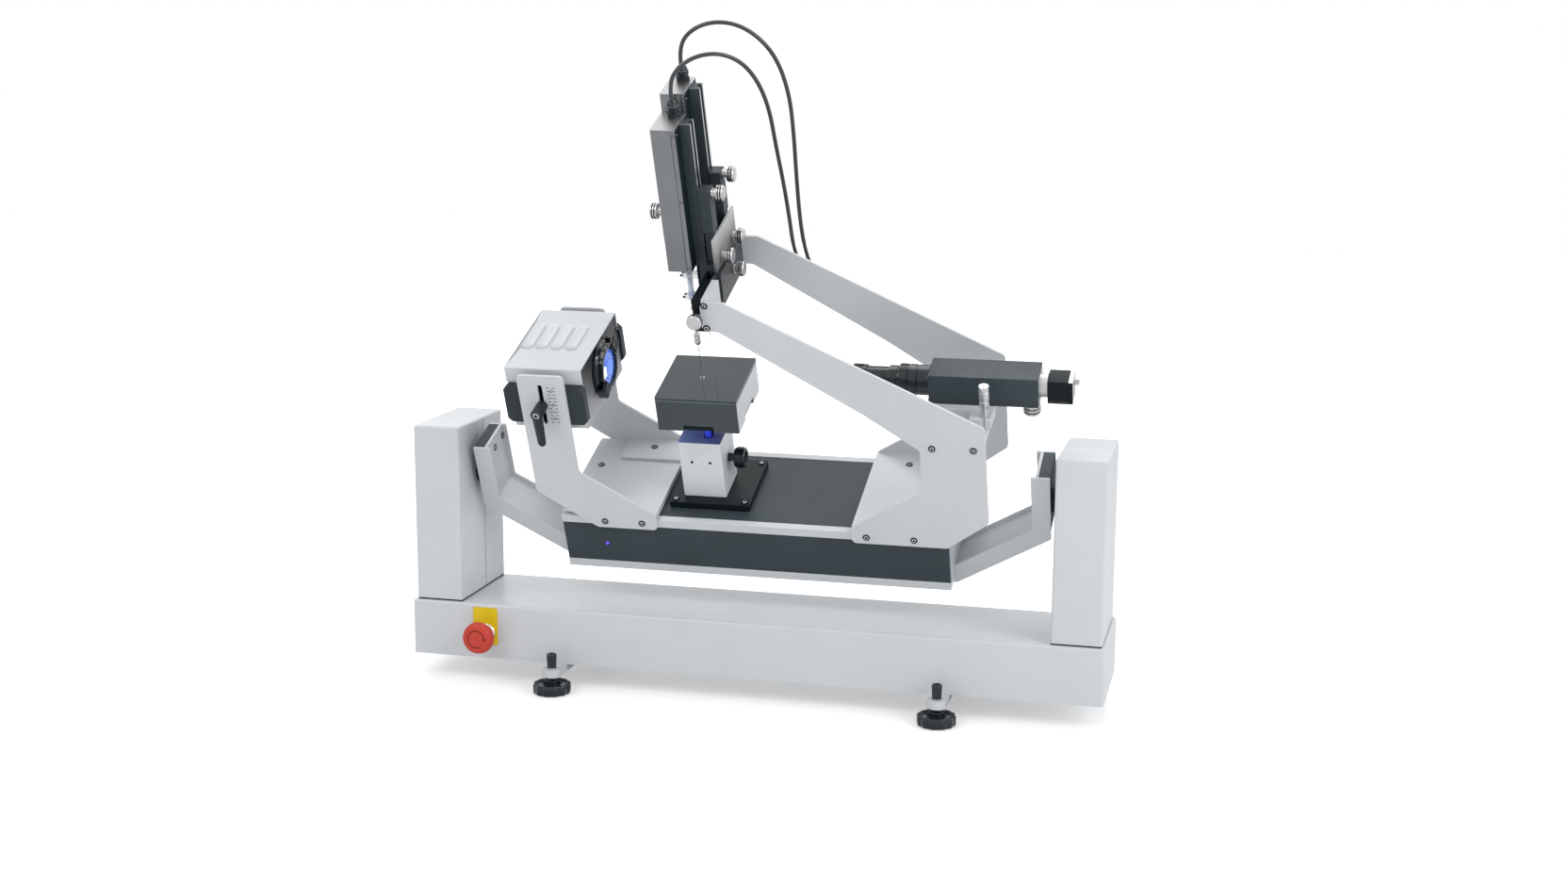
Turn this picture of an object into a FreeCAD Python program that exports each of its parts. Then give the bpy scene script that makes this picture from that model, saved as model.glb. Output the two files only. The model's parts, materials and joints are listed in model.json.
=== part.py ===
import FreeCAD, Part
import math
import os

# A drop-shape surface tensiometer on a tilting stand, in millimetres.
# The origin lies on the floor, under the middle of the stand's beam. X runs along the beam,
# Y points to the rear and Z is up. The instrument hangs in a cradle that tilts about an axis
# along X. Pieces of the instrument are drawn level, with the tilt axis at their origin, and are
# then turned by the tilt of the photographed pose.

V = FreeCAD.Vector

# Poses and running gaps
tilt_now = 22.5
slip = 0.05
gap = 0.3
seat_gap = 0.5
overrun = 2.0

# Share of a run that the arcs at its ends may take
run_share = 0.45

# Stand
beam_length = 850.0
beam_depth = 150.0
beam_height = 68.0
floor_gap = 29.5
cover_wall = 2.0
cover_edge = 3.0
bottom_plate_thickness = 3.0
pillar_width = 59.0
pillar_depth = 140.5
pillar_height = 216.0
pillar_inset = 4.0
pillar_floor_gap = 2.0
pillar_seam_y = 7.0
pillar_seam_gap = 0.6
pivot_below_top = 63.0
post_thickness = 14.0
post_depth = 96.0
post_top_clearance = 12.0
post_wall_clearance = 3.0
standoff_radius = 5.0
standoff_heights = (130.0, 285.0)
bearing_width = 12.0
bearing_outer_radius = 23.0
shaft_radius = 15.0
shaft_opening = 3.0
motor_radius = 32.0
motor_length = 22.0
motor_flange_length = 10.0
motor_bore_radius = 21.0

# Levelling feet and their crossbars
foot_x = 236.0
foot_y = 97.0
crossbar_width = 22.0
crossbar_thickness = 9.0
wheel_radius = 23.2
wheel_thickness = 12.5
wheel_bevel = 1.6
wheel_scallops = 12
wheel_scallop_radius = 6.0
wheel_scallop_depth = 0.9
foot_hub_radius = 10.0
foot_hub_height = 4.5
spindle_radius = 4.0
foot_cap_radius = 6.3
foot_cap_top_radius = 5.5
foot_cap_height = 17.0
foot_nut_radius = 6.0
foot_nut_height = 2.0
cap_socket_radius = 2.5
cap_socket_depth = 6.0

# Emergency stop button on the beam's front
stop_from_end = 95.3
stop_below_top = 36.0
stop_bezel_radius = 11.5
stop_bezel_length = 6.0
stop_barrel_radius = 10.8
stop_block_size = 30.0
stop_block_length = 34.0
stop_stem_radius = 7.0
stop_cap_radius = 19.5
stop_cap_length = 13.0
stop_cap_crown = 3.5
stop_travel = 5.0
stop_plate_width = 31.5
stop_plate_above = 32.0
stop_plate_below = 14.5
stop_plate_thickness = 1.0

# Cradle
arm_pillar_gap = 9.0
arm_thickness = 22.0
arm_top = 48.8
arm_bend_w = -24.0
arm_end_rise = 18.4
arm_half_width = 29.5
arm_flange = 3.0
arm_web = 3.5
hub_thickness = 13.5
hub_bottom = -26.0
cradle_floor_thickness = 7.0
hub_collar_radius = 19.0
hub_collar_length = 6.0

# Instrument base, level coordinates with the tilt axis at zero
middle_v = 24.0
base_left = -241.0
base_right = 237.0
base_top = -23.9
base_height = 76.0
base_half_depth = 80.0
rail_height = 10.7
rail_width = 10.0
base_floor = 10.0
base_end_wall = 5.0
panel_thickness = 3.0
panel_recess = 1.0
deck_thickness = 4.0
deck_drop = 1.0
board_length = 300.0
board_depth = 100.0
board_thickness = 2.0
board_standoff = 8.0
chip_size = 28.0
chip_height = 9.0

# Bent sheet brackets beside the lamp and the optics
plate = 3.5
saddle_thickness = 5.2
saddle_margin = 6.0
lamp_bracket_left = -266.0
lamp_bracket_right = -208.0
lamp_bracket_top = 175.0
lamp_foot_right = -118.3
lamp_foot_left = -194.0
lamp_knee_w = 11.4
lamp_inner_bend = 42.0
plate_bottom = -36.5
plate_corner = 6.0
bracket_tray_left = -238.0
rear_flange_left = -198.0
rear_flange_depth = 46.0
slot_x = -238.6
slot_middle_w = 135.8
slot_length = 54.0
slot_width = 6.0
side_foot_left = 122.0
side_foot_right = 236.0
side_right = 285.5
side_tail_w = 2.0
side_waist_x = 210.0
side_waist_low = 41.4
side_waist_high = 98.0
side_neck_x = 146.0
side_neck_w = 143.6
arm_low_x = -11.4
arm_low_w = 243.4
nose_left = -30.0
nose_bottom = 245.0
nose_top = 280.5
nose_right = -2.6
side_shoulder_w = 131.0
crossbar_left = 214.0
crossbar_right = 282.0
crossbar_bottom = 96.0
crossbar_top = 108.0
mount_front_v = -6.0
mount_back_v = 50.0
lug_left = 262.0
lug_front_v = -27.0
lug_split = 1.2

# Sample stage
stage_x = -60.5
stage_size = 100.0
stage_thickness = 7.8
column_x = -69.0
column_width = 53.0
column_front_v = -11.0
column_depth = 55.4
column_height = 76.5
column_wall = 6.0
column_edge = 1.5
post_x = -61.3
post_radius = 4.0
post_pitch = 20.0
rack_width = 6.0
rack_thickness = 8.0
stage_knob_w = 25.1
stage_knob_radius = 13.0
stage_knob_length = 13.5
stage_knob_shaft_radius = 5.0
stage_knob_neck = 8.5
stage_knob_dish_radius = 6.0
stage_knob_dish = 3.0
column_hole_radius = 1.5
column_hole_pitch = 22.8
column_hole_w = 32.8

# Measuring chamber
chamber_x = -61.5
chamber_size = 100.0
chamber_bottom = 86.8
chamber_body_height = 41.0
chamber_wall = 3.0
chamber_floor = 8.0
chamber_notch_width = 38.5
lid_thickness = 3.2
lid_gap = 0.8
lid_ledge = 2.0
needle_x = -65.5
lid_hole_radius = 2.0
table_size = 84.0
table_top = 6.0

# Lamp
lamp_left = -285.0
lamp_right = -190.0
lamp_top = 177.0
lamp_half_depth = 70.0
lamp_skirt = 20.0
lamp_sheet = 1.5
louvre_count = 4
louvre_left_x = -273.0
louvre_pitch = 18.4
louvre_width = 15.5
louvre_rise = 2.8
louvre_front = -1.0
louvre_back = 56.0
lamp_bottom = 95.5
sink_depth = 9.5
sink_low = 107.0
sink_high = 158.0
sink_middle_gap = 46.0
lens_w = 141.0
lens_ring_radius = 33.0
lens_ring_length = 12.0
lens_bore_radius = 24.5
lens_lip = 2.0
lens_thickness = 5.0
lamp_wall = 4.0
lever_w = 135.0
lever_hub_radius = 7.0
lever_hub_length = 25.0
lever_arm_length = 44.0
lever_arm_width = 9.5
lever_arm_thickness = 8.0
lever_stud_radius = 2.7
nut_bar_size = 16.0

# Crosshead and dosing carriage
bar_left = -40.0
bar_right = -29.0
bar_bottom = 242.0
bar_top = 282.0
bar_groove = 6.0
bar_groove_depth = 6.0
end_block_right = -21.0
end_block_depth = 48.5
cover_plate_front = 10.3
cover_plate_thickness = 3.0
unit_pitch = 49.0
rear_unit_lift = 21.6
box_left = -82.0
box_width = 28.5
box_depth = 48.0
box_bottom = 286.2
box_height = 176.0
box_edge = 1.0
rail_right = -41.3
rail_depth = 16.0
rail_back_offset = 2.5
rail_bottom = 256.0
rail_top = 461.0
rail_groove = 7.0
rail_groove_depth = 4.0
block_right = -28.0
block_depth = 18.0
block_bottom_share = 0.45
stem_width = 10.0
saddle_top = 290.0
saddle_front = 12.0
saddle_back = 86.0
hang_plate_thickness = 3.0
hang_plate_front = 4.0
hang_plate_back = 94.0
hang_plate_bottom = 284.0
hang_plate_top_share = 0.453
knob_radius = 9.0
knob_length = 8.5
knob_neck_radius = 5.0
knob_neck_length = 6.5
knob_groove = 1.2
height_knob_w = 374.5
height_knob_edge = 5.5
clamp_knob_share = 0.071
cross_knob_w = 262.0
crosshead_knob_v = 58.0
crosshead_knob_w = 262.0
side_knob_v = 13.0
side_knob_w = 357.0
side_knob_seat = 5.0
gland_x = -65.5
gland_from_back = 9.0
gland_nut_radius = 8.2
gland_nut_height = 6.0
gland_dome_radius = 6.8
gland_dome_height = 12.0
cable_radius = 2.4
knob_seat_radius = 3.0

# Syringes
syringe_radius = 4.0
syringe_bore = 2.6
syringe_bottom = 240.0
holder_width = 12.0
holder_thickness = 3.0
holder_bottom = 228.0
clamp_height = 6.0
luer_radius = 3.4
luer_bottom = 225.0
stem_tube_radius = 1.6
needle_hub_radius = 3.8
needle_hub_top = 193.0
needle_hub_bottom = 177.0
needle_radius = 0.45
needle_tip = 137.0
plunger_radius = 2.2
plunger_rod_radius = 1.2
plunger_seal_height = 4.0
plunger_seal_w = 262.0
plunger_top = 330.0
well_radius = 6.0
well_top = 350.0

# Optics
optics_left = 211.0
optics_length = 127.0
optics_half_width = 21.0
optics_bottom = 123.3
optics_height = 37.0
axis_w = 141.8
optics_edge = 1.0
lens_step_lengths = (14.0, 22.0, 12.0, 26.0, 18.0, 17.0)
lens_step_radii = (17.8, 18.3, 16.0, 14.2, 16.0, 14.8)
lens_front_dish = 4.0
lens_front_dish_radius = 11.0
neck_radius = 14.0
neck_length = 9.0
camera_length = 24.0
camera_size = 29.0
camera_height = 26.0
camera_back_plate = 5.0
camera_base = 2.5
socket_radius = 3.5
socket_length = 6.0
micrometer_x = 279.5
micrometer_v = -19.5
thimble_radius = 6.5
thimble_bottom = 146.0
thimble_top = 164.5
sleeve_radius = 4.8
lug_top = 123.3
optics_knob_x = 327.5
optics_knob_radius = 10.0
optics_knob_length = 13.0
optics_knob_neck = 6.0

# Screws
screw_radius = 3.4
screw_height = 1.6
screw_socket_radius = 1.4
screw_socket_depth = 1.0
plate_screw_places = ((-184.0, -27.5), (-137.0, -27.5), (139.7, -27.5), (196.7, -27.5), (224.1, 102.0),
                      (271.6, 102.0), (-24.7, 277.0), (-24.7, 248.5))
tray_screw_places = ((-219.0, 43.0), (167.0, 80.0))
flange_screw_x = -160.5
flange_screw_v = 84.0

# Cable duct on the rear of the base
duct_left = 190.0
duct_right = 236.0
duct_depth = 51.3
duct_wall = 2.0
duct_height = 52.0

# Cable tray on the back of the rear side plate's arm
cable_tray_left = 40.0
cable_tray_lift = 3.0
cable_tray_length = 166.0
cable_tray_depth = 38.0
cable_tray_height = 14.0

# Cable routes, as points in the level instrument: along, back and up
front_route = ((-65.5, 39.0, 480.2), (-65.5, 39.0, 497.0), (-58.0, 40.0, 515.0), (-38.0, 48.0, 528.0),
               (-13.0, 61.0, 528.0), (9.0, 73.0, 513.0), (23.0, 84.0, 485.0), (29.0, 98.0, 445.0),
               (29.0, 110.0, 395.0), (31.0, 119.5, 345.0), (33.0, 123.5, 297.0), (34.5, 123.0, 258.0),
               (42.0, 122.5, 232.0), (58.0, 122.5, 216.4), (95.0, 122.5, 192.9), (130.0, 122.5, 170.7),
               (165.0, 122.5, 148.6), (186.0, 122.5, 135.2), (204.0, 123.0, 117.0), (213.5, 124.0, 88.0),
               (216.0, 125.0, 50.0), (216.3, 125.4, -15.0), (216.0, 125.0, -77.0))
rear_route = ((-65.5, 88.0, 501.8), (-65.5, 88.0, 519.0), (-56.0, 90.0, 538.0), (-32.0, 94.0, 550.0),
              (-2.0, 98.0, 548.0), (24.0, 102.0, 530.0), (42.0, 107.0, 500.0), (50.0, 113.0, 455.0),
              (49.0, 119.0, 405.0), (46.0, 124.5, 350.0), (44.0, 129.5, 297.0), (45.5, 131.0, 258.0),
              (52.0, 130.5, 227.0), (68.0, 130.5, 210.1), (105.0, 130.5, 186.6), (140.0, 130.5, 164.4),
              (178.0, 130.5, 140.3), (200.0, 130.5, 126.4), (218.0, 130.0, 107.0), (227.5, 129.5, 78.0),
              (230.0, 129.5, 42.0), (230.3, 129.9, -20.0), (230.0, 129.5, -77.0))

# Places worked out from the sizes above
beam_top = floor_gap + beam_height
pillar_bottom = beam_top + pillar_floor_gap
pillar_top = pillar_bottom + pillar_height
pivot_z = pillar_top - pivot_below_top
half_beam = beam_length / 2
half_depth = beam_depth / 2
pillar_outer = half_beam - pillar_inset
pillar_inner = pillar_outer - pillar_width
arm_outer_x = pillar_inner - arm_pillar_gap
stop_x = stop_from_end - half_beam
post_inner = pillar_inner + cover_wall + post_wall_clearance
post_outer = post_inner + post_thickness
stop_z = beam_top - stop_below_top
base_front_v = middle_v - base_half_depth
base_back_v = middle_v + base_half_depth
base_bottom = base_top - base_height
tray_low = base_top + saddle_thickness
tray_top = tray_low + plate
front_plate_v = base_front_v - plate
back_plate_v = base_back_v + plate
column_bottom = base_top + stage_thickness
column_top = column_bottom + column_height
column_middle_v = column_front_v + column_depth / 2
chamber_top = chamber_bottom + chamber_body_height
lid_bottom = chamber_top + lid_gap
box_right = box_left + box_width
knob_rise = height_knob_w - saddle_top
block_bottom = saddle_top + block_bottom_share * knob_rise
block_top = height_knob_w + height_knob_edge
clamp_knob_w = saddle_top + clamp_knob_share * knob_rise
hang_plate_top = hang_plate_bottom + hang_plate_top_share * (height_knob_w - hang_plate_bottom)


def box(x0, x1, y0, y1, z0, z1):
    return Part.makeBox(x1 - x0, y1 - y0, z1 - z0, V(x0, y0, z0))


def rod_x(radius, x0, x1, y, z):
    return Part.makeCylinder(radius, x1 - x0, V(x0, y, z), V(1, 0, 0))


def rod_y(radius, x, y0, y1, z):
    return Part.makeCylinder(radius, y1 - y0, V(x, y0, z), V(0, 1, 0))


def rod_z(radius, x, y, z0, z1):
    return Part.makeCylinder(radius, z1 - z0, V(x, y, z0), V(0, 0, 1))


def cone_z(low_radius, high_radius, x, y, z0, z1):
    return Part.makeCone(low_radius, high_radius, z1 - z0, V(x, y, z0), V(0, 0, 1))


def hex_z(radius, x, y, z0, z1):
    turns = [math.pi / 3 * k for k in range(6)]
    corners = [V(x + radius * math.cos(turn), y + radius * math.sin(turn), z0) for turn in turns]
    return Part.Face(Part.makePolygon(corners + corners[:1])).extrude(V(0, 0, z1 - z0))


def rounded_face(points, radius):
    """A flat face through the points, each corner rounded as far as its two sides allow."""
    edges = []
    count = len(points)
    starts = []
    for k in range(count):
        before, here, after = points[k - 1], points[k], points[(k + 1) % count]
        to_before = before.sub(here)
        to_after = after.sub(here)
        half_turn = (math.pi - to_before.getAngle(to_after)) / 2
        longest = run_share * min(to_before.Length, to_after.Length)
        cut = min(radius * math.tan(half_turn), longest)
        first = here.add(to_before.normalize().multiply(cut))
        last = here.add(to_after.normalize().multiply(cut))
        chord_middle = first.add(last).multiply(0.5)
        inward = chord_middle.sub(here)
        bend = cut / math.tan(half_turn)
        centre_distance = bend / math.cos(half_turn)
        crown = here.add(inward.normalize().multiply(centre_distance - bend))
        starts.append((first, crown, last))
    for k in range(count):
        first, crown, last = starts[k]
        edges.append(Part.Arc(first, crown, last).toShape())
        edges.append(Part.LineSegment(last, starts[(k + 1) % count][0]).toShape())
    return Part.Face(Part.Wire(edges))


def plate_xz(points, radius, y0, y1):
    """A plate standing across Y, from its outline in X and Z."""
    face = rounded_face([V(x, y0, z) for x, z in points], radius)
    return face.extrude(V(0, y1 - y0, 0))


def slab(x0, x1, y0, y1, z0, z1, radius):
    """A level plate with rounded upright corners."""
    face = rounded_face([V(x0, y0, z0), V(x1, y0, z0), V(x1, y1, z0), V(x0, y1, z0)], radius)
    return face.extrude(V(0, 0, z1 - z0))


def eased(shape, radius, keep=lambda edge: True):
    """The shape with the edges that keep picks rounded."""
    edges = [edge for edge in shape.Edges if keep(edge)]
    return shape.makeFillet(radius, edges)


def is_circle(edge):
    return edge.Curve.TypeId == "Part::GeomCircle"


def mirrored_x(shape):
    return shape.mirror(V(0, 0, 0), V(1, 0, 0))


def joined(shapes):
    result = shapes[0]
    for shape in shapes[1:]:
        result = result.fuse(shape)
    return result.removeSplitter()


def group(shapes):
    return Part.makeCompound(shapes)


def tilted(shape):
    """Turn a level piece of the instrument about the tilt axis and lift it to the pivots."""
    turned = shape.copy()
    turned.rotate(V(0, 0, 0), V(1, 0, 0), tilt_now)
    turned.translate(V(0, 0, pivot_z))
    return turned


def at_beam_bottom(edge):
    return all(vertex.Z < floor_gap + slip for vertex in edge.Vertexes)


def beam_cover():
    outer = box(-half_beam, half_beam, -half_depth, half_depth, floor_gap, beam_top)
    outer = eased(outer, cover_edge, lambda edge: not at_beam_bottom(edge))
    inner = box(-half_beam + cover_wall, half_beam - cover_wall, -half_depth + cover_wall,
                half_depth - cover_wall, floor_gap - overrun, beam_top - cover_wall)
    shell = outer.cut(inner)
    for side in (-1, 1):
        low = min(side * (post_inner - seat_gap), side * (post_outer + seat_gap))
        high = max(side * (post_inner - seat_gap), side * (post_outer + seat_gap))
        half_post = post_depth / 2 + seat_gap
        opening = box(low, high, -half_post, half_post, beam_top - 2 * cover_wall, beam_top + overrun)
        shell = shell.cut(opening)
    hole = rod_y(stop_barrel_radius + slip, stop_x, -half_depth - overrun, -half_depth + 2 * cover_wall,
                 stop_z)
    return shell.cut(hole)


def beam_bottom_plate():
    inset = cover_wall + slip
    sheet = box(-half_beam + inset, half_beam - inset, -half_depth + inset, half_depth - inset,
                floor_gap, floor_gap + bottom_plate_thickness)
    return sheet


def foot_crossbars():
    bars = []
    half = crossbar_width / 2
    for side in (-1, 1):
        x = side * foot_x
        bar = slab(x - half, x + half, -foot_y - half, foot_y + half, floor_gap - crossbar_thickness,
                   floor_gap, half)
        for end in (-1, 1):
            bore = rod_z(spindle_radius + slip, x, end * foot_y, floor_gap - crossbar_thickness - overrun,
                         floor_gap + overrun)
            bar = bar.cut(bore)
        bars.append(bar)
    return group(bars)


def pillar_shell(side):
    """One pillar's whole cover, before it is split at its seam."""
    half = pillar_depth / 2
    outer = box(pillar_inner, pillar_outer, -half, half, pillar_bottom, pillar_top)
    outer = eased(outer, cover_edge,
                  lambda edge: not all(vertex.Z < pillar_bottom + slip for vertex in edge.Vertexes))
    inner = box(pillar_inner + cover_wall, pillar_outer - cover_wall, -half + cover_wall, half - cover_wall,
                pillar_bottom - overrun, pillar_top - cover_wall)
    shell = outer.cut(inner)
    opening = rod_x(shaft_radius + shaft_opening, pillar_inner - overrun, pillar_inner + 2 * cover_wall, 0,
                    pivot_z)
    shell = shell.cut(opening)
    return shell if side > 0 else mirrored_x(shell)


def pillar_covers():
    """The front and rear cover of each pillar, with the seam between them."""
    shells = []
    for low, high in ((-pillar_depth, pillar_seam_y), (pillar_seam_y + pillar_seam_gap, pillar_depth)):
        keep = box(-beam_length, beam_length, low, high, 0, pillar_top + overrun)
        shells += [pillar_shell(side).common(keep) for side in (-1, 1)]
    return group(shells)


def pillar_posts():
    posts = []
    half = post_depth / 2
    low = floor_gap + bottom_plate_thickness
    post = box(post_inner, post_outer, -half, half, low, pillar_top - post_top_clearance)
    post = post.cut(rod_x(bearing_outer_radius, post_inner - overrun, post_outer + overrun, 0, pivot_z))
    window_low = beam_top + overrun
    window_high = pivot_z - 2 * bearing_outer_radius
    quarter = half / 2
    window = box(post_inner - overrun, post_outer + overrun, -quarter, quarter, window_low, window_high)
    post = post.cut(window)
    reach = pillar_depth / 2 - cover_wall
    middle_x = (post_inner + post_outer) / 2
    standoffs = [rod_y(standoff_radius, middle_x, y0, y1, z) for z in standoff_heights
                 for y0, y1 in ((-reach, -half), (half, reach))]
    post = joined([post] + standoffs)
    for side in (-1, 1):
        posts.append(post if side > 0 else mirrored_x(post))
    return group(posts)


def pivot_bearings():
    ring = rod_x(bearing_outer_radius, post_inner, post_inner + bearing_width, 0, pivot_z)
    ring = ring.cut(rod_x(shaft_radius + slip, post_inner - overrun, post_outer + overrun, 0, pivot_z))
    return group([ring, mirrored_x(ring)])


def tilt_motor():
    """The gear motor on the left post, with a hollow flange round the shaft's collar."""
    flange = rod_x(motor_radius, post_outer, post_outer + motor_flange_length, 0, pivot_z)
    start = post_outer + motor_flange_length
    flange = flange.cut(rod_x(motor_bore_radius, post_outer - overrun, start, 0, pivot_z))
    body = rod_x(motor_radius - cover_edge, start, start + motor_length, 0, pivot_z)
    gearbox = box(start, start + motor_length / 2, -motor_radius, motor_radius, pivot_z - 2 * motor_radius,
                  pivot_z)
    return mirrored_x(joined([flange, body, gearbox]))


def foot(side, end):
    """A levelling foot: scalloped wheel, spindle and cap, which turn together."""
    x = side * foot_x
    y = end * foot_y
    wheel = rod_z(wheel_radius, x, y, 0, wheel_thickness)
    wheel = wheel.makeChamfer(wheel_bevel, [edge for edge in wheel.Edges if is_circle(edge)])
    for k in range(wheel_scallops):
        angle = 2 * math.pi * k / wheel_scallops
        reach = wheel_radius + wheel_scallop_radius - wheel_scallop_depth
        notch = rod_z(wheel_scallop_radius, x + reach * math.cos(angle), y + reach * math.sin(angle),
                      -overrun, wheel_thickness + overrun)
        wheel = wheel.cut(notch)
    hub = rod_z(foot_hub_radius, x, y, wheel_thickness, wheel_thickness + foot_hub_height)
    wheel = joined([wheel, hub])
    bottom = wheel_thickness + foot_hub_height
    nut_top = floor_gap + slip + foot_nut_height
    spindle = rod_z(spindle_radius, x, y, bottom, nut_top)
    nut = rod_z(foot_nut_radius, x, y, floor_gap + slip, nut_top)
    cap = cone_z(foot_cap_top_radius, foot_cap_radius, x, y, nut_top, nut_top + foot_cap_height)
    cap = eased(cap, foot_nut_height / 2, lambda edge: all(v.Z > nut_top + slip for v in edge.Vertexes))
    socket = hex_z(cap_socket_radius, x, y, nut_top + foot_cap_height - cap_socket_depth,
                   nut_top + foot_cap_height + overrun)
    return group([wheel, joined([spindle, nut]), cap.cut(socket)])


def stop_button_plate():
    half = stop_plate_width / 2
    sheet = box(stop_x - half, stop_x + half, -half_depth - stop_plate_thickness, -half_depth,
                stop_z - stop_plate_below, stop_z + stop_plate_above)
    hole = rod_y(stop_barrel_radius + slip, stop_x, -half_depth - 2 * overrun, -half_depth + overrun,
                 stop_z)
    return sheet.cut(hole)


def stop_button_housing():
    front = -half_depth - stop_plate_thickness
    bezel = rod_y(stop_bezel_radius, stop_x, front - stop_bezel_length, front, stop_z)
    barrel = rod_y(stop_barrel_radius, stop_x, front, -half_depth + 2 * cover_wall, stop_z)
    half = stop_block_size / 2
    back = -half_depth + 2 * cover_wall
    block = box(stop_x - half, stop_x + half, back, back + stop_block_length, stop_z - half, stop_z + half)
    body = joined([bezel, barrel, block])
    bore_depth = stop_block_length / 2
    bore = rod_y(stop_stem_radius + slip, stop_x, front - stop_bezel_length - overrun, back + bore_depth,
                 stop_z)
    return body.cut(bore)


def stop_button_cap():
    """The mushroom head with its stem; the head has a turn-to-release crown."""
    front = -half_depth - stop_plate_thickness - stop_bezel_length
    rim_back = front - stop_travel - 2 * stop_cap_crown
    stem_back = -half_depth + 2 * cover_wall + stop_block_length / 2 - stop_travel - seat_gap
    stem = rod_y(stop_stem_radius, stop_x, rim_back, stem_back, stop_z)
    head = rod_y(stop_cap_radius, stop_x, rim_back - stop_cap_length, rim_back, stop_z)
    head = eased(head, stop_cap_crown,
                 lambda edge: is_circle(edge) and edge.Vertexes[0].Y < rim_back - slip)
    return joined([stem, head])


def arm_corners(offset, end_x):
    """Corners of the cradle arm's inner line, moved outwards by offset, from its top to its end."""
    start_x = arm_outer_x - arm_thickness
    run = start_x - (base_right - base_left) / 2
    slope = math.atan((arm_bend_w - base_bottom - arm_end_rise) / run)
    x = start_x + offset
    turn_share = math.tan((math.pi / 2 - slope) / 2)
    bend_w = arm_bend_w - offset * turn_share
    end_w = bend_w - (x - end_x) * math.tan(slope)
    return (x, arm_top), (x, bend_w), (end_x, end_w)


def arm_strip(low_offset, high_offset, v0, v1, end_x):
    inner = arm_corners(low_offset, end_x)
    outer = arm_corners(high_offset, end_x)
    points = list(inner) + list(reversed(outer))
    corners = [V(x, v0, w) for x, w in points]
    return Part.Face(Part.makePolygon(corners + corners[:1])).extrude(V(0, v1 - v0, 0))


def cradle_arm(end_x):
    """The right arm: two flanges and the web between them, from its top to the base's end."""
    front = arm_strip(0, arm_thickness, -arm_half_width, -arm_half_width + arm_flange, end_x)
    back = arm_strip(0, arm_thickness, arm_half_width - arm_flange, arm_half_width, end_x)
    web_inner = arm_thickness - hub_thickness - arm_web
    web = arm_strip(web_inner, web_inner + arm_web, -arm_half_width, arm_half_width, end_x)
    keep = box(-beam_length, beam_length, -beam_depth, beam_depth, base_bottom - cradle_floor_thickness,
               pillar_height)
    return joined([front, back, web]).common(keep)


def cradle():
    """The two bent arms and the floor plate that joins them under the base."""
    right = cradle_arm(base_right)
    left = mirrored_x(cradle_arm(-base_left))
    floor_plate = box(base_left - slip, base_right + slip, -arm_half_width, arm_half_width,
                      base_bottom - cradle_floor_thickness, base_bottom)
    return joined([right, left, floor_plate])


def pivot_hub():
    inner_x = arm_outer_x - hub_thickness
    half = arm_half_width - arm_flange - slip
    block = box(inner_x + slip, arm_outer_x, -half, half, hub_bottom, arm_top)
    end = post_outer + hub_collar_length + seat_gap
    shaft = rod_x(shaft_radius, arm_outer_x, end, 0, 0)
    collar = rod_x(hub_collar_radius, end - hub_collar_length, end, 0, 0)
    return joined([block, shaft, collar])


def pivot_hubs():
    hub = pivot_hub()
    return group([hub, mirrored_x(hub)])


def base_frame():
    """The light chassis: four rails along it, two end walls and a floor."""
    body = box(base_left, base_right, base_front_v, base_back_v, base_bottom, base_top)
    inner_left = base_left + base_end_wall
    inner_right = base_right - base_end_wall
    cavity = box(inner_left, inner_right, base_front_v + rail_width, base_back_v - rail_width,
                 base_bottom + base_floor / 2, base_top + overrun)
    window = box(inner_left, inner_right, base_front_v - overrun, base_back_v + overrun,
                 base_bottom + base_floor, base_top - rail_height)
    body = body.cut(cavity).cut(window)
    panel_left = base_left - overrun
    panel_right = base_right + overrun
    depth = panel_thickness + panel_recess
    spans = ((base_front_v - overrun, base_front_v + depth), (base_back_v - depth, base_back_v + overrun))
    for v0, v1 in spans:
        recess = box(panel_left, panel_right, v0, v1, base_bottom + base_floor, base_top - rail_height)
        body = body.cut(recess)
    left_spacer = box(bracket_tray_left, lamp_foot_right - seat_gap, base_front_v + saddle_margin,
                      base_back_v - saddle_margin, base_top, tray_low)
    right_spacer = box(side_foot_left + seat_gap, side_foot_right - seat_gap, base_front_v + saddle_margin,
                       base_back_v - saddle_margin, base_top, tray_low)
    return group([body, left_spacer, right_spacer])


def base_panels():
    low = base_bottom + base_floor + slip
    high = base_top - rail_height - slip
    front = base_front_v + panel_recess
    back = base_back_v - panel_recess
    front_panel = box(base_left, base_right, front, front + panel_thickness, low, high)
    rear_panel = box(base_left, base_right, back - panel_thickness, back, low, high)
    return group([front_panel, rear_panel])


def cable_duct():
    """The open-topped trough behind the base, which the dosing cables run down into."""
    front = base_back_v - panel_recess
    back = front + duct_depth
    top = plate_bottom - gap
    low = top - duct_height
    outer = box(duct_left, duct_right, front, back, low, top)
    inner = box(duct_left + duct_wall, duct_right - duct_wall, front + duct_wall, back - duct_wall,
                low + duct_wall, top + overrun)
    return outer.cut(inner)


def cable_tray():
    """The open-topped tray that carries the dosing cables down the back of the rear arm."""
    fall = math.atan2(arm_low_w - side_neck_w, side_neck_x - arm_low_x)
    left_w = arm_low_w - (cable_tray_left - arm_low_x) * math.tan(fall) + cable_tray_lift
    back = back_plate_v + cable_tray_depth
    outer = box(0, cable_tray_length, back_plate_v, back, 0, cable_tray_height)
    inner = box(-overrun, cable_tray_length + overrun, back_plate_v + duct_wall, back - duct_wall,
                duct_wall, cable_tray_height + overrun)
    tray = outer.cut(inner)
    tray.rotate(V(0, 0, 0), V(0, 1, 0), math.degrees(fall))
    tray.translate(V(cable_tray_left, 0, left_w))
    return tray


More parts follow.
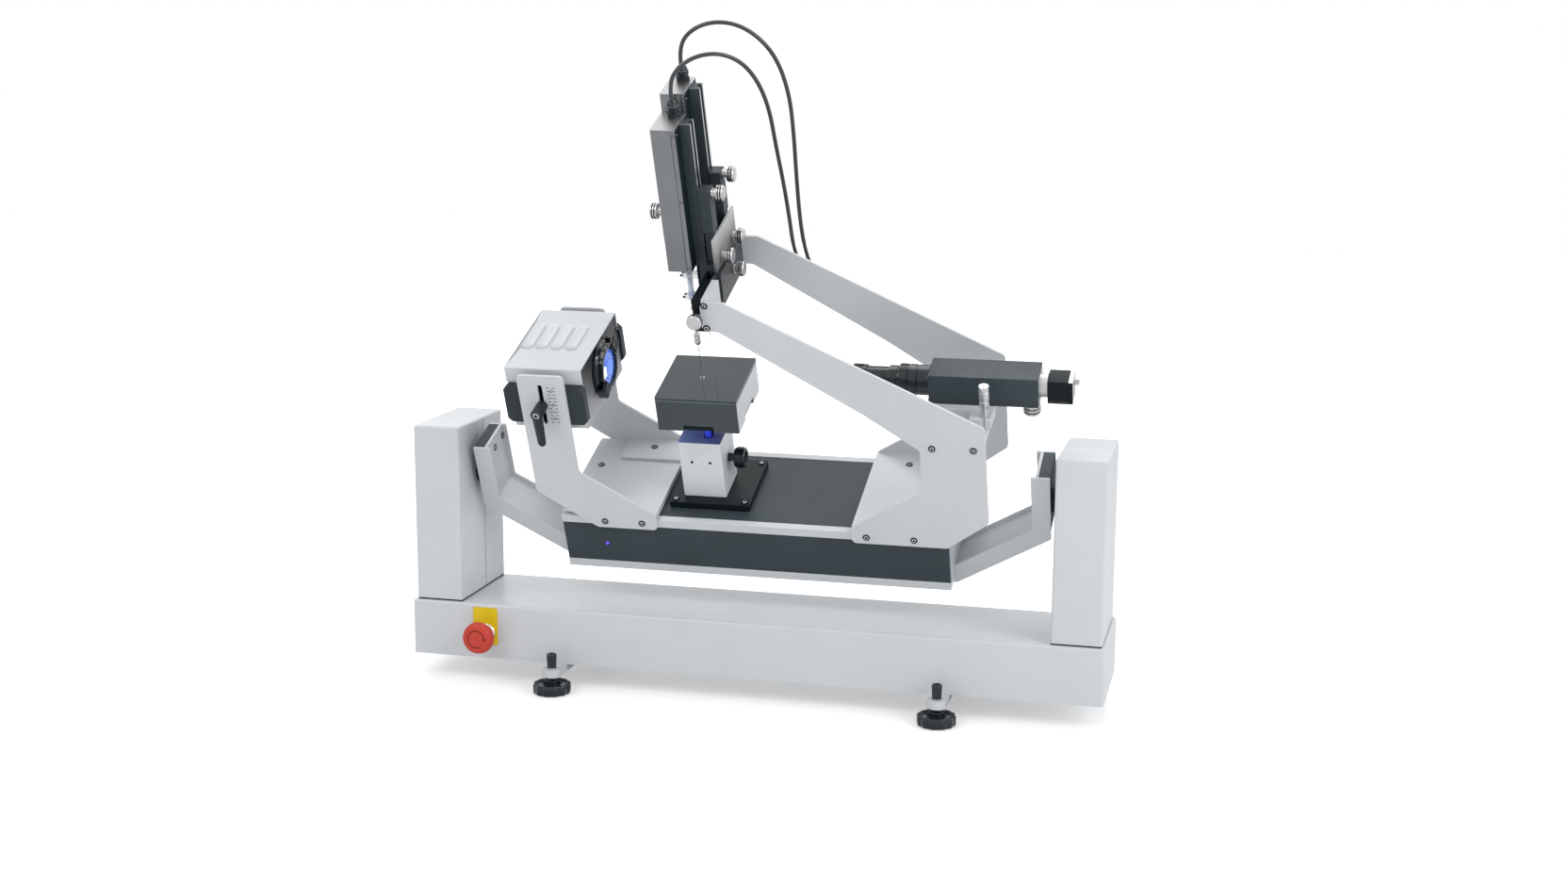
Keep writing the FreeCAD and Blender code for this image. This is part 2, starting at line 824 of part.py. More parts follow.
def deck_plate():
    top = base_top - deck_drop
    return box(base_left + base_end_wall, base_right - base_end_wall,
               base_front_v + rail_width, base_back_v - rail_width, top - deck_thickness, top)


def control_board():
    floor_w = base_bottom + base_floor / 2
    low = floor_w + board_standoff
    half = board_length / 2
    front = middle_v - board_depth / 2
    back = middle_v + board_depth / 2
    sheet = box(-half, half, front, back, low, low + board_thickness)
    parts = [sheet]
    for x in (-half + chip_height, half - chip_height):
        for v in (front + chip_height, back - chip_height):
            parts.append(rod_z(chip_height / 3, x, v, floor_w, low))
    for k in range(3):
        x = (k - 1) * half / 2
        parts.append(box(x, x + chip_size, middle_v - chip_size / 2, middle_v + chip_size / 2,
                         low + board_thickness, low + board_thickness + chip_height))
    return joined(parts)


def lamp_plate(v0):
    points = ((lamp_bracket_left, lamp_bracket_top), (lamp_bracket_right, lamp_bracket_top),
              (lamp_bracket_right, lamp_inner_bend), (lamp_foot_right, tray_top),
              (lamp_foot_right, plate_bottom), (lamp_foot_left, plate_bottom),
              (lamp_bracket_left, lamp_knee_w))
    sheet = plate_xz(points, plate_corner, v0, v0 + plate)
    straight = (slot_length - slot_width) / 2
    low, high = slot_middle_w - straight, slot_middle_w + straight
    half = slot_width / 2
    slot = box(slot_x - half, slot_x + half, v0 - overrun, v0 + plate + overrun, low, high)
    for w in (low, high):
        slot = slot.fuse(rod_y(half, slot_x, v0 - overrun, v0 + plate + overrun, w))
    return sheet.cut(slot)


def lamp_brackets():
    front = lamp_plate(front_plate_v)
    tray = box(bracket_tray_left, lamp_foot_right, base_front_v - slip, base_back_v, tray_low, tray_top)
    rear = lamp_plate(base_back_v)
    flange = box(rear_flange_left, lamp_foot_right, base_back_v - rear_flange_depth, base_back_v + slip,
                 tray_top, tray_top + plate)
    return group([joined([front, tray]), joined([rear, flange])])


def side_plate(v0):
    points = ((side_foot_left, plate_bottom), (side_foot_left, tray_top), (side_waist_x, side_waist_low),
              (side_waist_x, side_waist_high), (side_neck_x, side_neck_w), (arm_low_x, arm_low_w),
              (nose_left, nose_bottom), (nose_left, nose_top), (nose_right, nose_top),
              (side_right, side_shoulder_w), (side_right, side_tail_w), (side_foot_right, plate_bottom))
    return plate_xz(points, plate_corner, v0, v0 + plate)


def side_plates():
    front = side_plate(front_plate_v)
    rear = side_plate(base_back_v)
    tray_left = side_foot_left
    tray = box(tray_left, side_foot_right, base_front_v - slip, middle_v - slip, tray_low, tray_top)
    back_tray = box(tray_left, side_foot_right, middle_v + slip, base_back_v + slip, tray_low, tray_top)
    return group([joined([front, tray]), joined([rear, back_tray])])


def optics_crossbar():
    """The bar between the side plates, with the mount and the micrometer's lug on it."""
    bar = box(crossbar_left, crossbar_right, base_front_v, base_back_v, crossbar_bottom, crossbar_top)
    mount = box(crossbar_left - plate, crossbar_right + saddle_thickness, mount_front_v, mount_back_v,
                crossbar_top, optics_bottom)
    lug = box(lug_left, crossbar_right + saddle_thickness, lug_front_v, mount_front_v, crossbar_top + plate,
              lug_top)
    body = joined([bar, mount, lug])
    well = rod_z(sleeve_radius, micrometer_x, micrometer_v, crossbar_top, lug_top + overrun)
    half_split = lug_split / 2
    split = box(micrometer_x - half_split, micrometer_x + half_split, lug_front_v - overrun, micrometer_v,
                crossbar_top + slip, lug_top + overrun)
    return body.cut(well).cut(split)


def stage_plate():
    half = stage_size / 2
    return slab(stage_x - half, stage_x + half, middle_v - half, middle_v + half, base_top - deck_drop,
                base_top - deck_drop + stage_thickness + deck_drop, column_edge)


def stage_column():
    """The hollow lifting column, with guide bores in its top and a bearing bore for the knob."""
    half = column_width / 2
    left, right = column_x - half, column_x + half
    front, back = column_front_v, column_front_v + column_depth
    body = slab(left, right, front, back, column_bottom, column_top, column_edge)
    cavity = box(left + column_wall, right - column_wall, front + column_wall, back - column_wall,
                 column_bottom - overrun, column_top - column_wall)
    body = body.cut(cavity)
    for side in (-1, 1):
        v = column_middle_v + side * post_pitch / 2
        body = body.cut(rod_z(post_radius + slip, post_x, v, column_bottom, column_top + overrun))
        hole_x = column_x + side * column_hole_pitch / 2
        hole = rod_y(column_hole_radius, hole_x, front - overrun, front + column_wall / 2, column_hole_w)
        body = body.cut(hole)
    rack_slot = box(post_x - rack_thickness / 2 - gap, post_x + rack_thickness / 2 + gap,
                    column_middle_v - rack_width / 2 - gap, column_middle_v + rack_width / 2 + gap,
                    column_top - 2 * column_wall, column_top + overrun)
    bearing = rod_x(stage_knob_shaft_radius + slip, right - 2 * column_wall, right + overrun,
                    column_middle_v, stage_knob_w)
    return body.cut(rack_slot).cut(bearing)


def stage_knob():
    right = column_x + column_width / 2
    start = post_x + rack_thickness / 2 + gap
    disc_start = right + stage_knob_neck
    end = disc_start + stage_knob_length
    shaft = rod_x(stage_knob_shaft_radius, start, disc_start, column_middle_v, stage_knob_w)
    disc = rod_x(stage_knob_radius, disc_start, end, column_middle_v, stage_knob_w)
    disc = eased(disc, column_edge, is_circle)
    dish = rod_x(stage_knob_dish_radius, end - stage_knob_dish, end + overrun, column_middle_v, stage_knob_w)
    return joined([shaft, disc]).cut(dish)


def table_lift():
    """Two guide posts and a rack under the sample table, which is the chamber's floor."""
    reach = column_height / 2
    low = column_top - reach
    parts = []
    for side in (-1, 1):
        v = column_middle_v + side * post_pitch / 2
        parts.append(rod_z(post_radius, post_x, v, low, chamber_bottom))
    half_rack = rack_thickness / 2
    parts.append(box(post_x - half_rack, post_x + half_rack, column_middle_v - rack_width / 2,
                     column_middle_v + rack_width / 2, low, chamber_bottom))
    half = chamber_size / 2 - chamber_wall
    parts.append(box(chamber_x - half, chamber_x + half, middle_v - half, middle_v + half,
                     chamber_bottom, chamber_bottom + chamber_floor))
    half_table = table_size / 2
    parts.append(slab(chamber_x - half_table, chamber_x + half_table, middle_v - half_table,
                      middle_v + half_table, chamber_bottom + chamber_floor,
                      chamber_bottom + chamber_floor + table_top, column_edge))
    return joined(parts)


def chamber_body():
    """Four walls with a notch at the bottom of the front and of the right side."""
    half = chamber_size / 2
    left, right = chamber_x - half, chamber_x + half
    front, back = middle_v - half, middle_v + half
    body = slab(left, right, front, back, chamber_bottom, chamber_top, column_edge)
    body = body.cut(box(left + chamber_wall, right - chamber_wall, front + chamber_wall, back - chamber_wall,
                        chamber_bottom - overrun, chamber_top + overrun))
    half_notch = chamber_notch_width / 2
    low, high = chamber_bottom - overrun, chamber_bottom + chamber_floor
    front_notch = box(chamber_x - half_notch, chamber_x + half_notch, front - overrun,
                      front + chamber_wall + overrun, low, high)
    side_notch = box(right - chamber_wall - overrun, right + overrun, middle_v - half_notch,
                     middle_v + half_notch, low, high)
    return body.cut(front_notch).cut(side_notch)


def chamber_lid():
    """The lid, which rests on the walls with a narrow shadow gap and a ledge inside them."""
    half = chamber_size / 2
    lid = slab(chamber_x - half, chamber_x + half, middle_v - half, middle_v + half, lid_bottom,
               lid_bottom + lid_thickness, column_edge)
    seat = half - lid_gap
    step = box(chamber_x - seat, chamber_x + seat, middle_v - seat, middle_v + seat, chamber_top + slip,
               lid_bottom)
    inner = half - chamber_wall - seat_gap
    ledge = box(chamber_x - inner, chamber_x + inner, middle_v - inner, middle_v + inner,
                chamber_top - lid_ledge, lid_bottom)
    core = inner - chamber_wall
    hollow = box(chamber_x - core, chamber_x + core, middle_v - core, middle_v + core,
                 chamber_top - 2 * lid_ledge, lid_bottom)
    hole = rod_z(lid_hole_radius, needle_x, middle_v, lid_bottom - overrun,
                 lid_bottom + lid_thickness + overrun)
    return joined([lid, step, ledge]).cut(hollow).cut(hole)


def lamp_cover():
    """The light sheet hood over the lamp, with four pressed louvres on its top."""
    front, back = middle_v - lamp_half_depth, middle_v + lamp_half_depth
    low = lamp_top - lamp_skirt
    hood = box(lamp_left, lamp_right, front, back, low, lamp_top)

    def runs_along_top(edge):
        start, end = edge.Vertexes
        return start.Z > lamp_top - slip and end.Z > lamp_top - slip and abs(start.X - end.X) > slip

    hood = eased(hood, lamp_sheet, runs_along_top)
    hollow = box(lamp_left - overrun, lamp_right + overrun, front + lamp_sheet, back - lamp_sheet,
                 low - overrun, lamp_top - lamp_sheet)
    hood = hood.cut(hollow)
    half = louvre_width / 2
    crown = lamp_top + louvre_rise
    for k in range(louvre_count):
        x = louvre_left_x + k * louvre_pitch
        louvre = slab(x - half, x + half, louvre_front, louvre_back, lamp_top - lamp_sheet, crown, half)
        louvre = eased(louvre, louvre_rise - gap,
                       lambda edge: all(vertex.Z > crown - slip for vertex in edge.Vertexes))
        hood = hood.fuse(louvre)
    return hood.removeSplitter()


def lamp_housing():
    """The lower tray of the lamp with its end walls and the bars that the brackets clamp."""
    front = middle_v - lamp_half_depth + lamp_sheet + slip
    back = middle_v + lamp_half_depth - lamp_sheet - slip
    top = lamp_top - lamp_sheet - slip
    body = box(lamp_left + lamp_sheet, lamp_right - lamp_sheet, front, back, lamp_bottom, top)
    cavity = box(lamp_left + lamp_wall, lamp_right - lamp_wall, front + lamp_wall, back - lamp_wall,
                 lamp_bottom + lamp_wall, top + overrun)
    body = body.cut(cavity)
    aperture = rod_x(lens_bore_radius, lamp_right - 2 * lamp_wall, lamp_right + overrun, middle_v, lens_w)
    body = body.cut(aperture)
    bars = []
    for v0, v1 in ((base_front_v + gap, front), (back, base_back_v - gap)):
        half = nut_bar_size / 2
        bars.append(box(slot_x - half, slot_x + half, v0, v1, lever_w - half, lever_w + half))
    body = joined([body] + bars)
    stud = rod_y(lever_stud_radius + slip, slot_x, base_front_v - overrun, front + lamp_wall + overrun,
                 lever_w)
    rear_stud = rod_y(lever_stud_radius + slip, slot_x, back - lamp_wall - overrun, base_back_v + overrun,
                      lever_w)
    return body.cut(stud).cut(rear_stud)


def lamp_heat_sinks():
    """Dark finned blocks left and right of each bracket plate."""
    blocks = []
    front = middle_v - lamp_half_depth
    back = middle_v + lamp_half_depth
    middle_x = slot_x
    inner = sink_middle_gap / 2
    spans = ((front - sink_depth + gap, front + lamp_sheet), (back - lamp_sheet, back + sink_depth - gap))
    for v0, v1 in spans:
        for x0, x1 in ((lamp_left - saddle_thickness / 2, middle_x - inner),
                       (middle_x + inner, lamp_right + saddle_thickness / 2)):
            blocks.append(box(x0, x1, v0, v1, sink_low, sink_high - lamp_sheet))
    return group(blocks)


def lamp_lens_ring():
    start = lamp_right - lamp_sheet
    ring = rod_x(lens_ring_radius, start, start + lens_ring_length, middle_v, lens_w)
    ring = ring.cut(rod_x(lens_bore_radius - lens_lip, start - overrun, start + lens_ring_length + overrun,
                          middle_v, lens_w))
    seat = rod_x(lens_bore_radius, start + lens_ring_length - lens_lip - lens_thickness,
                 start + lens_ring_length - lens_lip, middle_v, lens_w)
    return ring.cut(seat)


def lamp_lens():
    start = lamp_right - lamp_sheet + lens_ring_length - lens_lip - lens_thickness
    return rod_x(lens_bore_radius, start, start + lens_thickness, middle_v, lens_w)


def lamp_lever(front):
    """A clamping lever: stud through the slot, hub outside the plate and a hanging handle."""
    wall = lamp_wall + lamp_sheet
    if front:
        hub_face = front_plate_v - slip
        stud_end = middle_v - lamp_half_depth + wall
        hub = rod_y(lever_hub_radius, slot_x, hub_face - lever_hub_length, hub_face, lever_w)
        stud = rod_y(lever_stud_radius, slot_x, hub_face, stud_end, lever_w)
        arm_face = hub_face - lever_hub_length
    else:
        hub_face = back_plate_v + slip
        stud_end = middle_v + lamp_half_depth - wall
        hub = rod_y(lever_hub_radius, slot_x, hub_face, hub_face + lever_hub_length, lever_w)
        stud = rod_y(lever_stud_radius, slot_x, stud_end, hub_face, lever_w)
        arm_face = hub_face + lever_hub_length - lever_arm_thickness
    half = lever_arm_width / 2
    points = ((slot_x - half, lever_w + half), (slot_x - half, lever_w - lever_arm_length),
              (slot_x + half, lever_w - lever_arm_length), (slot_x + half, lever_w + half))
    arm = plate_xz(points, half, arm_face, arm_face + lever_arm_thickness)
    return joined([hub, stud, arm])


def crosshead():
    """The black bar across the two arms, its end blocks and its cover plate."""
    bar = box(bar_left, bar_right, base_front_v, base_back_v, bar_bottom, bar_top)
    middle_x = (bar_left + bar_right) / 2
    groove = box(middle_x - bar_groove / 2, middle_x + bar_groove / 2, saddle_front - 2 * knob_radius,
                 saddle_back + 2 * knob_radius, bar_top - bar_groove_depth, bar_top + overrun)
    bar = bar.cut(groove)
    bore = rod_y(knob_seat_radius + slip, middle_x, base_front_v - overrun, base_front_v + end_block_depth,
                 cross_knob_w)
    bar = bar.cut(bore)
    block = box(bar_right, end_block_right, base_front_v, base_front_v + end_block_depth, bar_bottom,
                bar_top)
    cover = box(bar_right, bar_right + 2 * cover_plate_thickness, cover_plate_front, base_back_v,
                bar_bottom - cover_plate_thickness, bar_top - overrun)
    seat = rod_x(knob_seat_radius + slip, bar_left - overrun, end_block_right + overrun, crosshead_knob_v,
                 crosshead_knob_w)
    return group([bar.cut(seat), block, cover.cut(seat)])


def round_knob_x(start, v, w, seat_depth):
    """A silver knob on +X with two grooves, its neck and a pin that seats seat_depth deep."""
    pin = rod_x(knob_seat_radius, start - seat_depth, start, v, w)
    neck = rod_x(knob_neck_radius, start + gap, start + knob_neck_length, v, w)
    pin = pin.fuse(rod_x(knob_seat_radius, start, start + gap, v, w))
    head_start = start + knob_neck_length
    head = rod_x(knob_radius, head_start, head_start + knob_length, v, w)
    for k in (1, 2):
        x = head_start + k * knob_length / 3
        ring = rod_x(knob_radius + overrun, x - knob_groove / 2, x + knob_groove / 2, v, w)
        ring = ring.cut(rod_x(knob_radius - knob_groove / 2, x - knob_groove, x + knob_groove, v, w))
        head = head.cut(ring)
    return joined([pin, neck, head])


def unit_v(rear):
    return middle_v + (unit_pitch if rear else 0)


def unit_lift(rear):
    return rear_unit_lift if rear else 0


def rail_v(rear):
    return unit_v(rear) + rail_back_offset


def dosing_carriage():
    """The saddle on the crosshead bar, the hanging plate and the two guide blocks."""
    middle_x = (bar_left + bar_right) / 2
    saddle = box(bar_left, block_right, saddle_front, saddle_back, bar_top + gap, saddle_top)
    half_key = bar_groove / 2 - slip
    tongue = box(middle_x - half_key, middle_x + half_key, saddle_front, saddle_back,
                 bar_top - bar_groove_depth + gap, bar_top + gap)
    plate_start = block_right
    hanging = box(plate_start, plate_start + hang_plate_thickness, hang_plate_front, hang_plate_back,
                  hang_plate_bottom, hang_plate_top)
    parts = [saddle, tongue, hanging]
    for rear in (False, True):
        v = rail_v(rear)
        half = block_depth / 2
        parts.append(box(rail_right + gap, block_right, v - half, v + half, block_bottom, block_top))
        half_tongue = rail_groove / 2 - slip
        parts.append(box(rail_right - rail_groove_depth + gap, rail_right + gap, v - half_tongue,
                         v + half_tongue, block_bottom, block_top))
        half_stem = stem_width / 2
        parts.append(box(bar_left, block_right, v - half_stem, v + half_stem, saddle_top - slip,
                         block_bottom + slip))
    body = joined(parts)
    for rear in (False, True):
        v = rail_v(rear)
        seat = rod_x(knob_seat_radius + slip, rail_right, block_right + overrun, v, height_knob_w)
        clamp = rod_x(knob_seat_radius + slip, bar_left + plate, block_right + 2 * overrun, v,
                      clamp_knob_w)
        body = body.cut(seat).cut(clamp)
    return body


def cross_knob():
    middle_x = (bar_left + bar_right) / 2
    knob = round_knob_x(0, 0, 0, end_block_depth - seat_gap)
    knob.rotate(V(0, 0, 0), V(0, 0, 1), -90)
    knob.translate(V(middle_x, front_plate_v, cross_knob_w))
    return knob


def height_knob(rear):
    return round_knob_x(block_right, rail_v(rear), height_knob_w, block_right - rail_right - gap)


def clamp_knob(rear):
    start = block_right + hang_plate_thickness
    return round_knob_x(start, rail_v(rear), clamp_knob_w, knob_neck_length)


def side_knob_front():
    """The knob on the left face of the front drive, on a pin in its case."""
    knob = round_knob_x(0, 0, 0, side_knob_seat)
    knob.rotate(V(0, 0, 0), V(0, 0, 1), 180)
    knob.translate(V(box_left, side_knob_v, side_knob_w))
    return knob


def crosshead_knob():
    start = bar_right + 2 * cover_plate_thickness
    return round_knob_x(start, crosshead_knob_v, crosshead_knob_w, knob_neck_length)


def dosing_box(rear):
    """The syringe drive's case with its guide rail, cable gland and syringe holder."""
    v = unit_v(rear)
    lift = unit_lift(rear)
    half = box_depth / 2
    low = box_bottom + lift
    high = low + box_height
    case = box(box_left, box_right, v - half, v + half, low, high)
    case = eased(case, box_edge)
    case = case.cut(rod_z(well_radius, needle_x, v, low - overrun, well_top + lift))
    if not rear:
        seat = rod_x(knob_seat_radius + slip, box_left - overrun, box_left + side_knob_seat + gap,
                     side_knob_v, side_knob_w)
        case = case.cut(seat)
    rail_half = rail_depth / 2
    middle = rail_v(rear)
    rail = box(box_right, rail_right, middle - rail_half, middle + rail_half, rail_bottom + lift,
               rail_top + lift)
    groove_half = rail_groove / 2
    rail = rail.cut(box(rail_right - rail_groove_depth, rail_right + overrun, middle - groove_half,
                        middle + groove_half, rail_bottom + lift - overrun, rail_top + lift + overrun))
    nut_v = v + half - gland_from_back
    nut = hex_z(gland_nut_radius, gland_x, nut_v, high, high + gland_nut_height)
    dome = rod_z(gland_dome_radius, gland_x, nut_v, high + gland_nut_height,
                 high + gland_nut_height + gland_dome_height)
    dome_foot = high + gland_nut_height + slip
    dome = eased(dome, box_edge * 2, lambda edge: all(p.Z > dome_foot for p in edge.Vertexes))
    gland = joined([nut, dome])
    holder_half = holder_width / 2
    strap = box(box_right, box_right + holder_thickness, v - holder_half, v + holder_half,
                holder_bottom + lift, rail_bottom + lift)
    strap_top = box(box_right, box_right + holder_thickness, v - holder_half, v + holder_half,
                    rail_bottom + lift, low)
    parts = [rail.fuse(strap).fuse(strap_top)]
    for w in (syringe_bottom + lift, box_bottom + lift - 3 * clamp_height):
        jaw = box(needle_x - syringe_radius - holder_thickness, box_right + slip, v - holder_half,
                  v + holder_half, w, w + clamp_height)
        jaw = jaw.cut(rod_z(syringe_radius, needle_x, v, w - overrun, w + clamp_height + overrun))
        parts.append(jaw)
    return group([case, joined(parts), gland])


def syringe(rear):
    """Glass barrel, luer cone, steel tube, needle hub and needle."""
    v = unit_v(rear)
    lift = unit_lift(rear)
    top = box_bottom + lift
    barrel = rod_z(syringe_radius, needle_x, v, syringe_bottom + lift, top)
    barrel = barrel.cut(rod_z(syringe_bore, needle_x, v, syringe_bottom + lift + plate, top + overrun))
    luer = cone_z(stem_tube_radius, luer_radius, needle_x, v, luer_bottom + lift, syringe_bottom + lift)
    tube = rod_z(stem_tube_radius, needle_x, v, needle_hub_top + lift, luer_bottom + lift)
    hub = rod_z(needle_hub_radius, needle_x, v, needle_hub_bottom + lift, needle_hub_top + lift)
    needle = rod_z(needle_radius, needle_x, v, needle_tip + lift, needle_hub_bottom + lift)
    return joined([barrel, luer, tube, hub, needle])


def plunger(rear):
    v = unit_v(rear)
    lift = unit_lift(rear)
    seal_top = plunger_seal_w + plunger_seal_height + lift
    seal = rod_z(plunger_radius, needle_x, v, plunger_seal_w + lift, seal_top)
    rod = rod_z(plunger_rod_radius, needle_x, v, seal_top, plunger_top + lift)
    head_radius = well_radius - seat_gap
    head = rod_z(head_radius, needle_x, v, plunger_top + lift - plunger_seal_height, plunger_top + lift)
    return joined([seal, rod, head])


def optics_box():
    case = box(optics_left, optics_left + optics_length, middle_v - optics_half_width,
               middle_v + optics_half_width, optics_bottom, optics_bottom + optics_height)
    case = eased(case, optics_edge)
    right = optics_left + optics_length
    seat = rod_z(knob_seat_radius + slip, optics_knob_x, middle_v, optics_bottom - overrun,
                 optics_bottom + optics_knob_length)
    pocket = rod_x(neck_radius + slip, right - overrun, right + overrun, middle_v, axis_w)
    return case.cut(seat).cut(pocket)


def zoom_lens():
    """The stepped zoom lens in front of the optics box."""
    parts = []
    x = optics_left
    for length, radius in zip(lens_step_lengths, lens_step_radii):
        parts.append(rod_x(radius, x - length, x, middle_v, axis_w))
        x -= length
    barrel = joined(parts)
    return barrel.cut(rod_x(lens_front_dish_radius, x - overrun, x + lens_front_dish, middle_v, axis_w))


def camera():
    start = optics_left + optics_length
    neck = rod_x(neck_radius, start - overrun, start + neck_length, middle_v, axis_w)
    x = start + neck_length
    half = camera_size / 2
    low = axis_w - camera_height / 2
    high = axis_w + camera_height / 2
    cube = box(x, x + camera_length, middle_v - half, middle_v + half, low, high)
    cube = eased(cube, optics_edge)
    back = box(x + camera_length, x + camera_length + camera_back_plate, middle_v - half, middle_v + half,
               low - camera_base, high)
    base = box(x, x + camera_length, middle_v - half, middle_v + half, low - camera_base, low)
    end = x + camera_length + camera_back_plate
    socket = rod_x(socket_radius, end, end + socket_length, middle_v, high - 2 * socket_radius)
    return group([neck, cube, joined([back, base, socket])])


def micrometer():
    spindle_end = crossbar_top + slip
    sleeve = rod_z(sleeve_radius - slip, micrometer_x, micrometer_v, spindle_end, thimble_bottom)
    thimble = rod_z(thimble_radius, micrometer_x, micrometer_v, thimble_bottom, thimble_top)
    thimble = eased(thimble, optics_edge, is_circle)
    return joined([sleeve, thimble])


def optics_knob():
    pin = rod_z(knob_seat_radius, optics_knob_x, middle_v, optics_bottom - slip,
                optics_bottom + optics_knob_length - seat_gap)
    neck_top = optics_bottom - gap
    neck = rod_z(knob_neck_radius, optics_knob_x, middle_v, neck_top - optics_knob_neck, neck_top)
    pin_low = rod_z(knob_seat_radius, optics_knob_x, middle_v, neck_top - slip, optics_bottom)
    head_top = neck_top - optics_knob_neck
    head = rod_z(optics_knob_radius, optics_knob_x, middle_v, head_top - optics_knob_length, head_top)
    return joined([pin, pin_low, neck, head])


def screw_y(x, v_face, w, outwards):
    """A low screw head on a face across Y; outwards is -1 in front and 1 behind."""
    v0 = v_face if outwards > 0 else v_face - screw_height
    head = rod_y(screw_radius, x, v0, v0 + screw_height, w)
    socket_v = v0 + screw_height - screw_socket_depth if outwards > 0 else v0 - slip
    return head.cut(rod_y(screw_socket_radius, x, socket_v, socket_v + screw_socket_depth + slip, w))


def screw_z(x, v, w_face):
    head = rod_z(screw_radius, x, v, w_face, w_face + screw_height)
    socket = rod_z(screw_socket_radius, x, v, w_face + screw_height - screw_socket_depth,
                   w_face + screw_height + slip)
    return head.cut(socket)


def instrument_screws():
    """Screw heads of the brackets, the crossbar, the crosshead and the stage."""
    screws = []
    for x, w in plate_screw_places:
        screws.append(screw_y(x, front_plate_v, w, -1))
        screws.append(screw_y(x, back_plate_v, w, 1))
    reach = stage_size / 2 - 2 * screw_radius
    for side in (-1, 1):
        for end in (-1, 1):
            screws.append(screw_z(stage_x + side * reach, middle_v + end * reach, column_bottom))
    for x, v in tray_screw_places:
        screws.append(screw_z(x, v, tray_top))
    screws.append(screw_z(flange_screw_x, flange_screw_v, tray_top + plate))
    return group(screws)


def cable(points, name):
    """A tube along straight runs joined by tangent arcs, as large as the runs allow."""
    places = [V(*point) for point in points]
    edges = []
    here = places[0]
    radii = []
    for k in range(1, len(places) - 1):
        before, corner, after = places[k - 1], places[k], places[k + 1]
        run_in, run_out = corner.sub(before), after.sub(corner)
        half_turn = run_in.getAngle(run_out) / 2
        cut = run_share * min(run_in.Length, run_out.Length)
        radii.append(cut / math.tan(half_turn))
        first = corner.sub(V(run_in).normalize().multiply(cut))
        last = corner.add(V(run_out).normalize().multiply(cut))
        middle = first.add(last).multiply(0.5)
        reach = radii[-1] / math.cos(half_turn) - radii[-1]
        crown = corner.add(middle.sub(corner).normalize().multiply(reach))
        edges.append(Part.LineSegment(here, first).toShape())
        edges.append(Part.Arc(first, crown, last).toShape())
        here = last
    edges.append(Part.LineSegment(here, places[-1]).toShape())
    path = Part.Wire(edges)
    start = places[1].sub(places[0])
    ring = Part.Wire(Part.Circle(places[0], start, cable_radius).toShape())
    tube = path.makePipeShell([ring], True, False)
    expected = math.pi * cable_radius ** 2 * path.Length
    print(name, "length", round(path.Length), "tightest radius", round(min(radii)),
          "volume ratio", round(tube.Volume / expected, 4))
    return tube


nodes = {
    "beam_cover": beam_cover(),
    "beam_bottom_plate": beam_bottom_plate(),
    "foot_crossbars": foot_crossbars(),
    "pillar_covers": pillar_covers(),
    "pillar_posts": pillar_posts(),
    "pivot_bearings": pivot_bearings(),
    "tilt_motor": tilt_motor(),
    "stop_button_plate": stop_button_plate(),
    "stop_button_housing": stop_button_housing(),
    "stop_button_cap": stop_button_cap(),
    "foot_front_left": foot(-1, -1),
    "foot_front_right": foot(1, -1),
    "foot_rear_left": foot(-1, 1),
    "foot_rear_right": foot(1, 1),
}

level_nodes = {
    "cradle_frame": cradle(),
    "pivot_hubs": pivot_hubs(),
    "base_frame": base_frame(),
    "base_panels": base_panels(),
    "cable_duct": group([cable_duct(), cable_tray()]),
    "deck_plate": deck_plate(),
    "control_board": control_board(),
    "lamp_brackets": lamp_brackets(),
    "side_plates": side_plates(),
    "optics_crossbar": optics_crossbar(),
    "stage_plate": stage_plate(),
    "stage_column": stage_column(),
    "stage_knob": stage_knob(),
    "table_lift": table_lift(),
    "chamber_body": chamber_body(),
    "chamber_lid": chamber_lid(),
    "crosshead": crosshead(),
    "instrument_screws": instrument_screws(),
    "lamp_cover": lamp_cover(),
    "lamp_housing": lamp_housing(),
    "lamp_heat_sinks": lamp_heat_sinks(),
    "lamp_lens_ring": lamp_lens_ring(),
    "lamp_lens": lamp_lens(),
    "lamp_lever_front": lamp_lever(True),
    "lamp_lever_rear": lamp_lever(False),
    "dosing_carriage": dosing_carriage(),
    "cross_knob": cross_knob(),
    "crosshead_knob": crosshead_knob(),
    "side_knob_front": side_knob_front(),
    "optics_box": optics_box(),
    "zoom_lens": zoom_lens(),
    "camera": camera(),
    "micrometer": micrometer(),
    "optics_knob": optics_knob(),
    "dosing_cable_front": cable(front_route, "front cable"),
    "dosing_cable_rear": cable(rear_route, "rear cable"),
}
for place, rear in (("front", False), ("rear", True)):
    level_nodes["dosing_box_" + place] = dosing_box(rear)
    level_nodes["syringe_" + place] = syringe(rear)
    level_nodes["plunger_" + place] = plunger(rear)
    level_nodes["height_knob_" + place] = height_knob(rear)
    level_nodes["clamp_knob_" + place] = clamp_knob(rear)

for name, shape in level_nodes.items():
    nodes[name] = tilted(shape)

os.makedirs("parts", exist_ok=True)
for name, shape in nodes.items():
    shape.exportStep("parts/" + name + ".step")
print(len(nodes), "nodes")
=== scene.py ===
import bmesh
import bpy
import json
import math
from bpy.props import FloatProperty, FloatVectorProperty, IntProperty, PointerProperty
from mathutils import Matrix, Vector

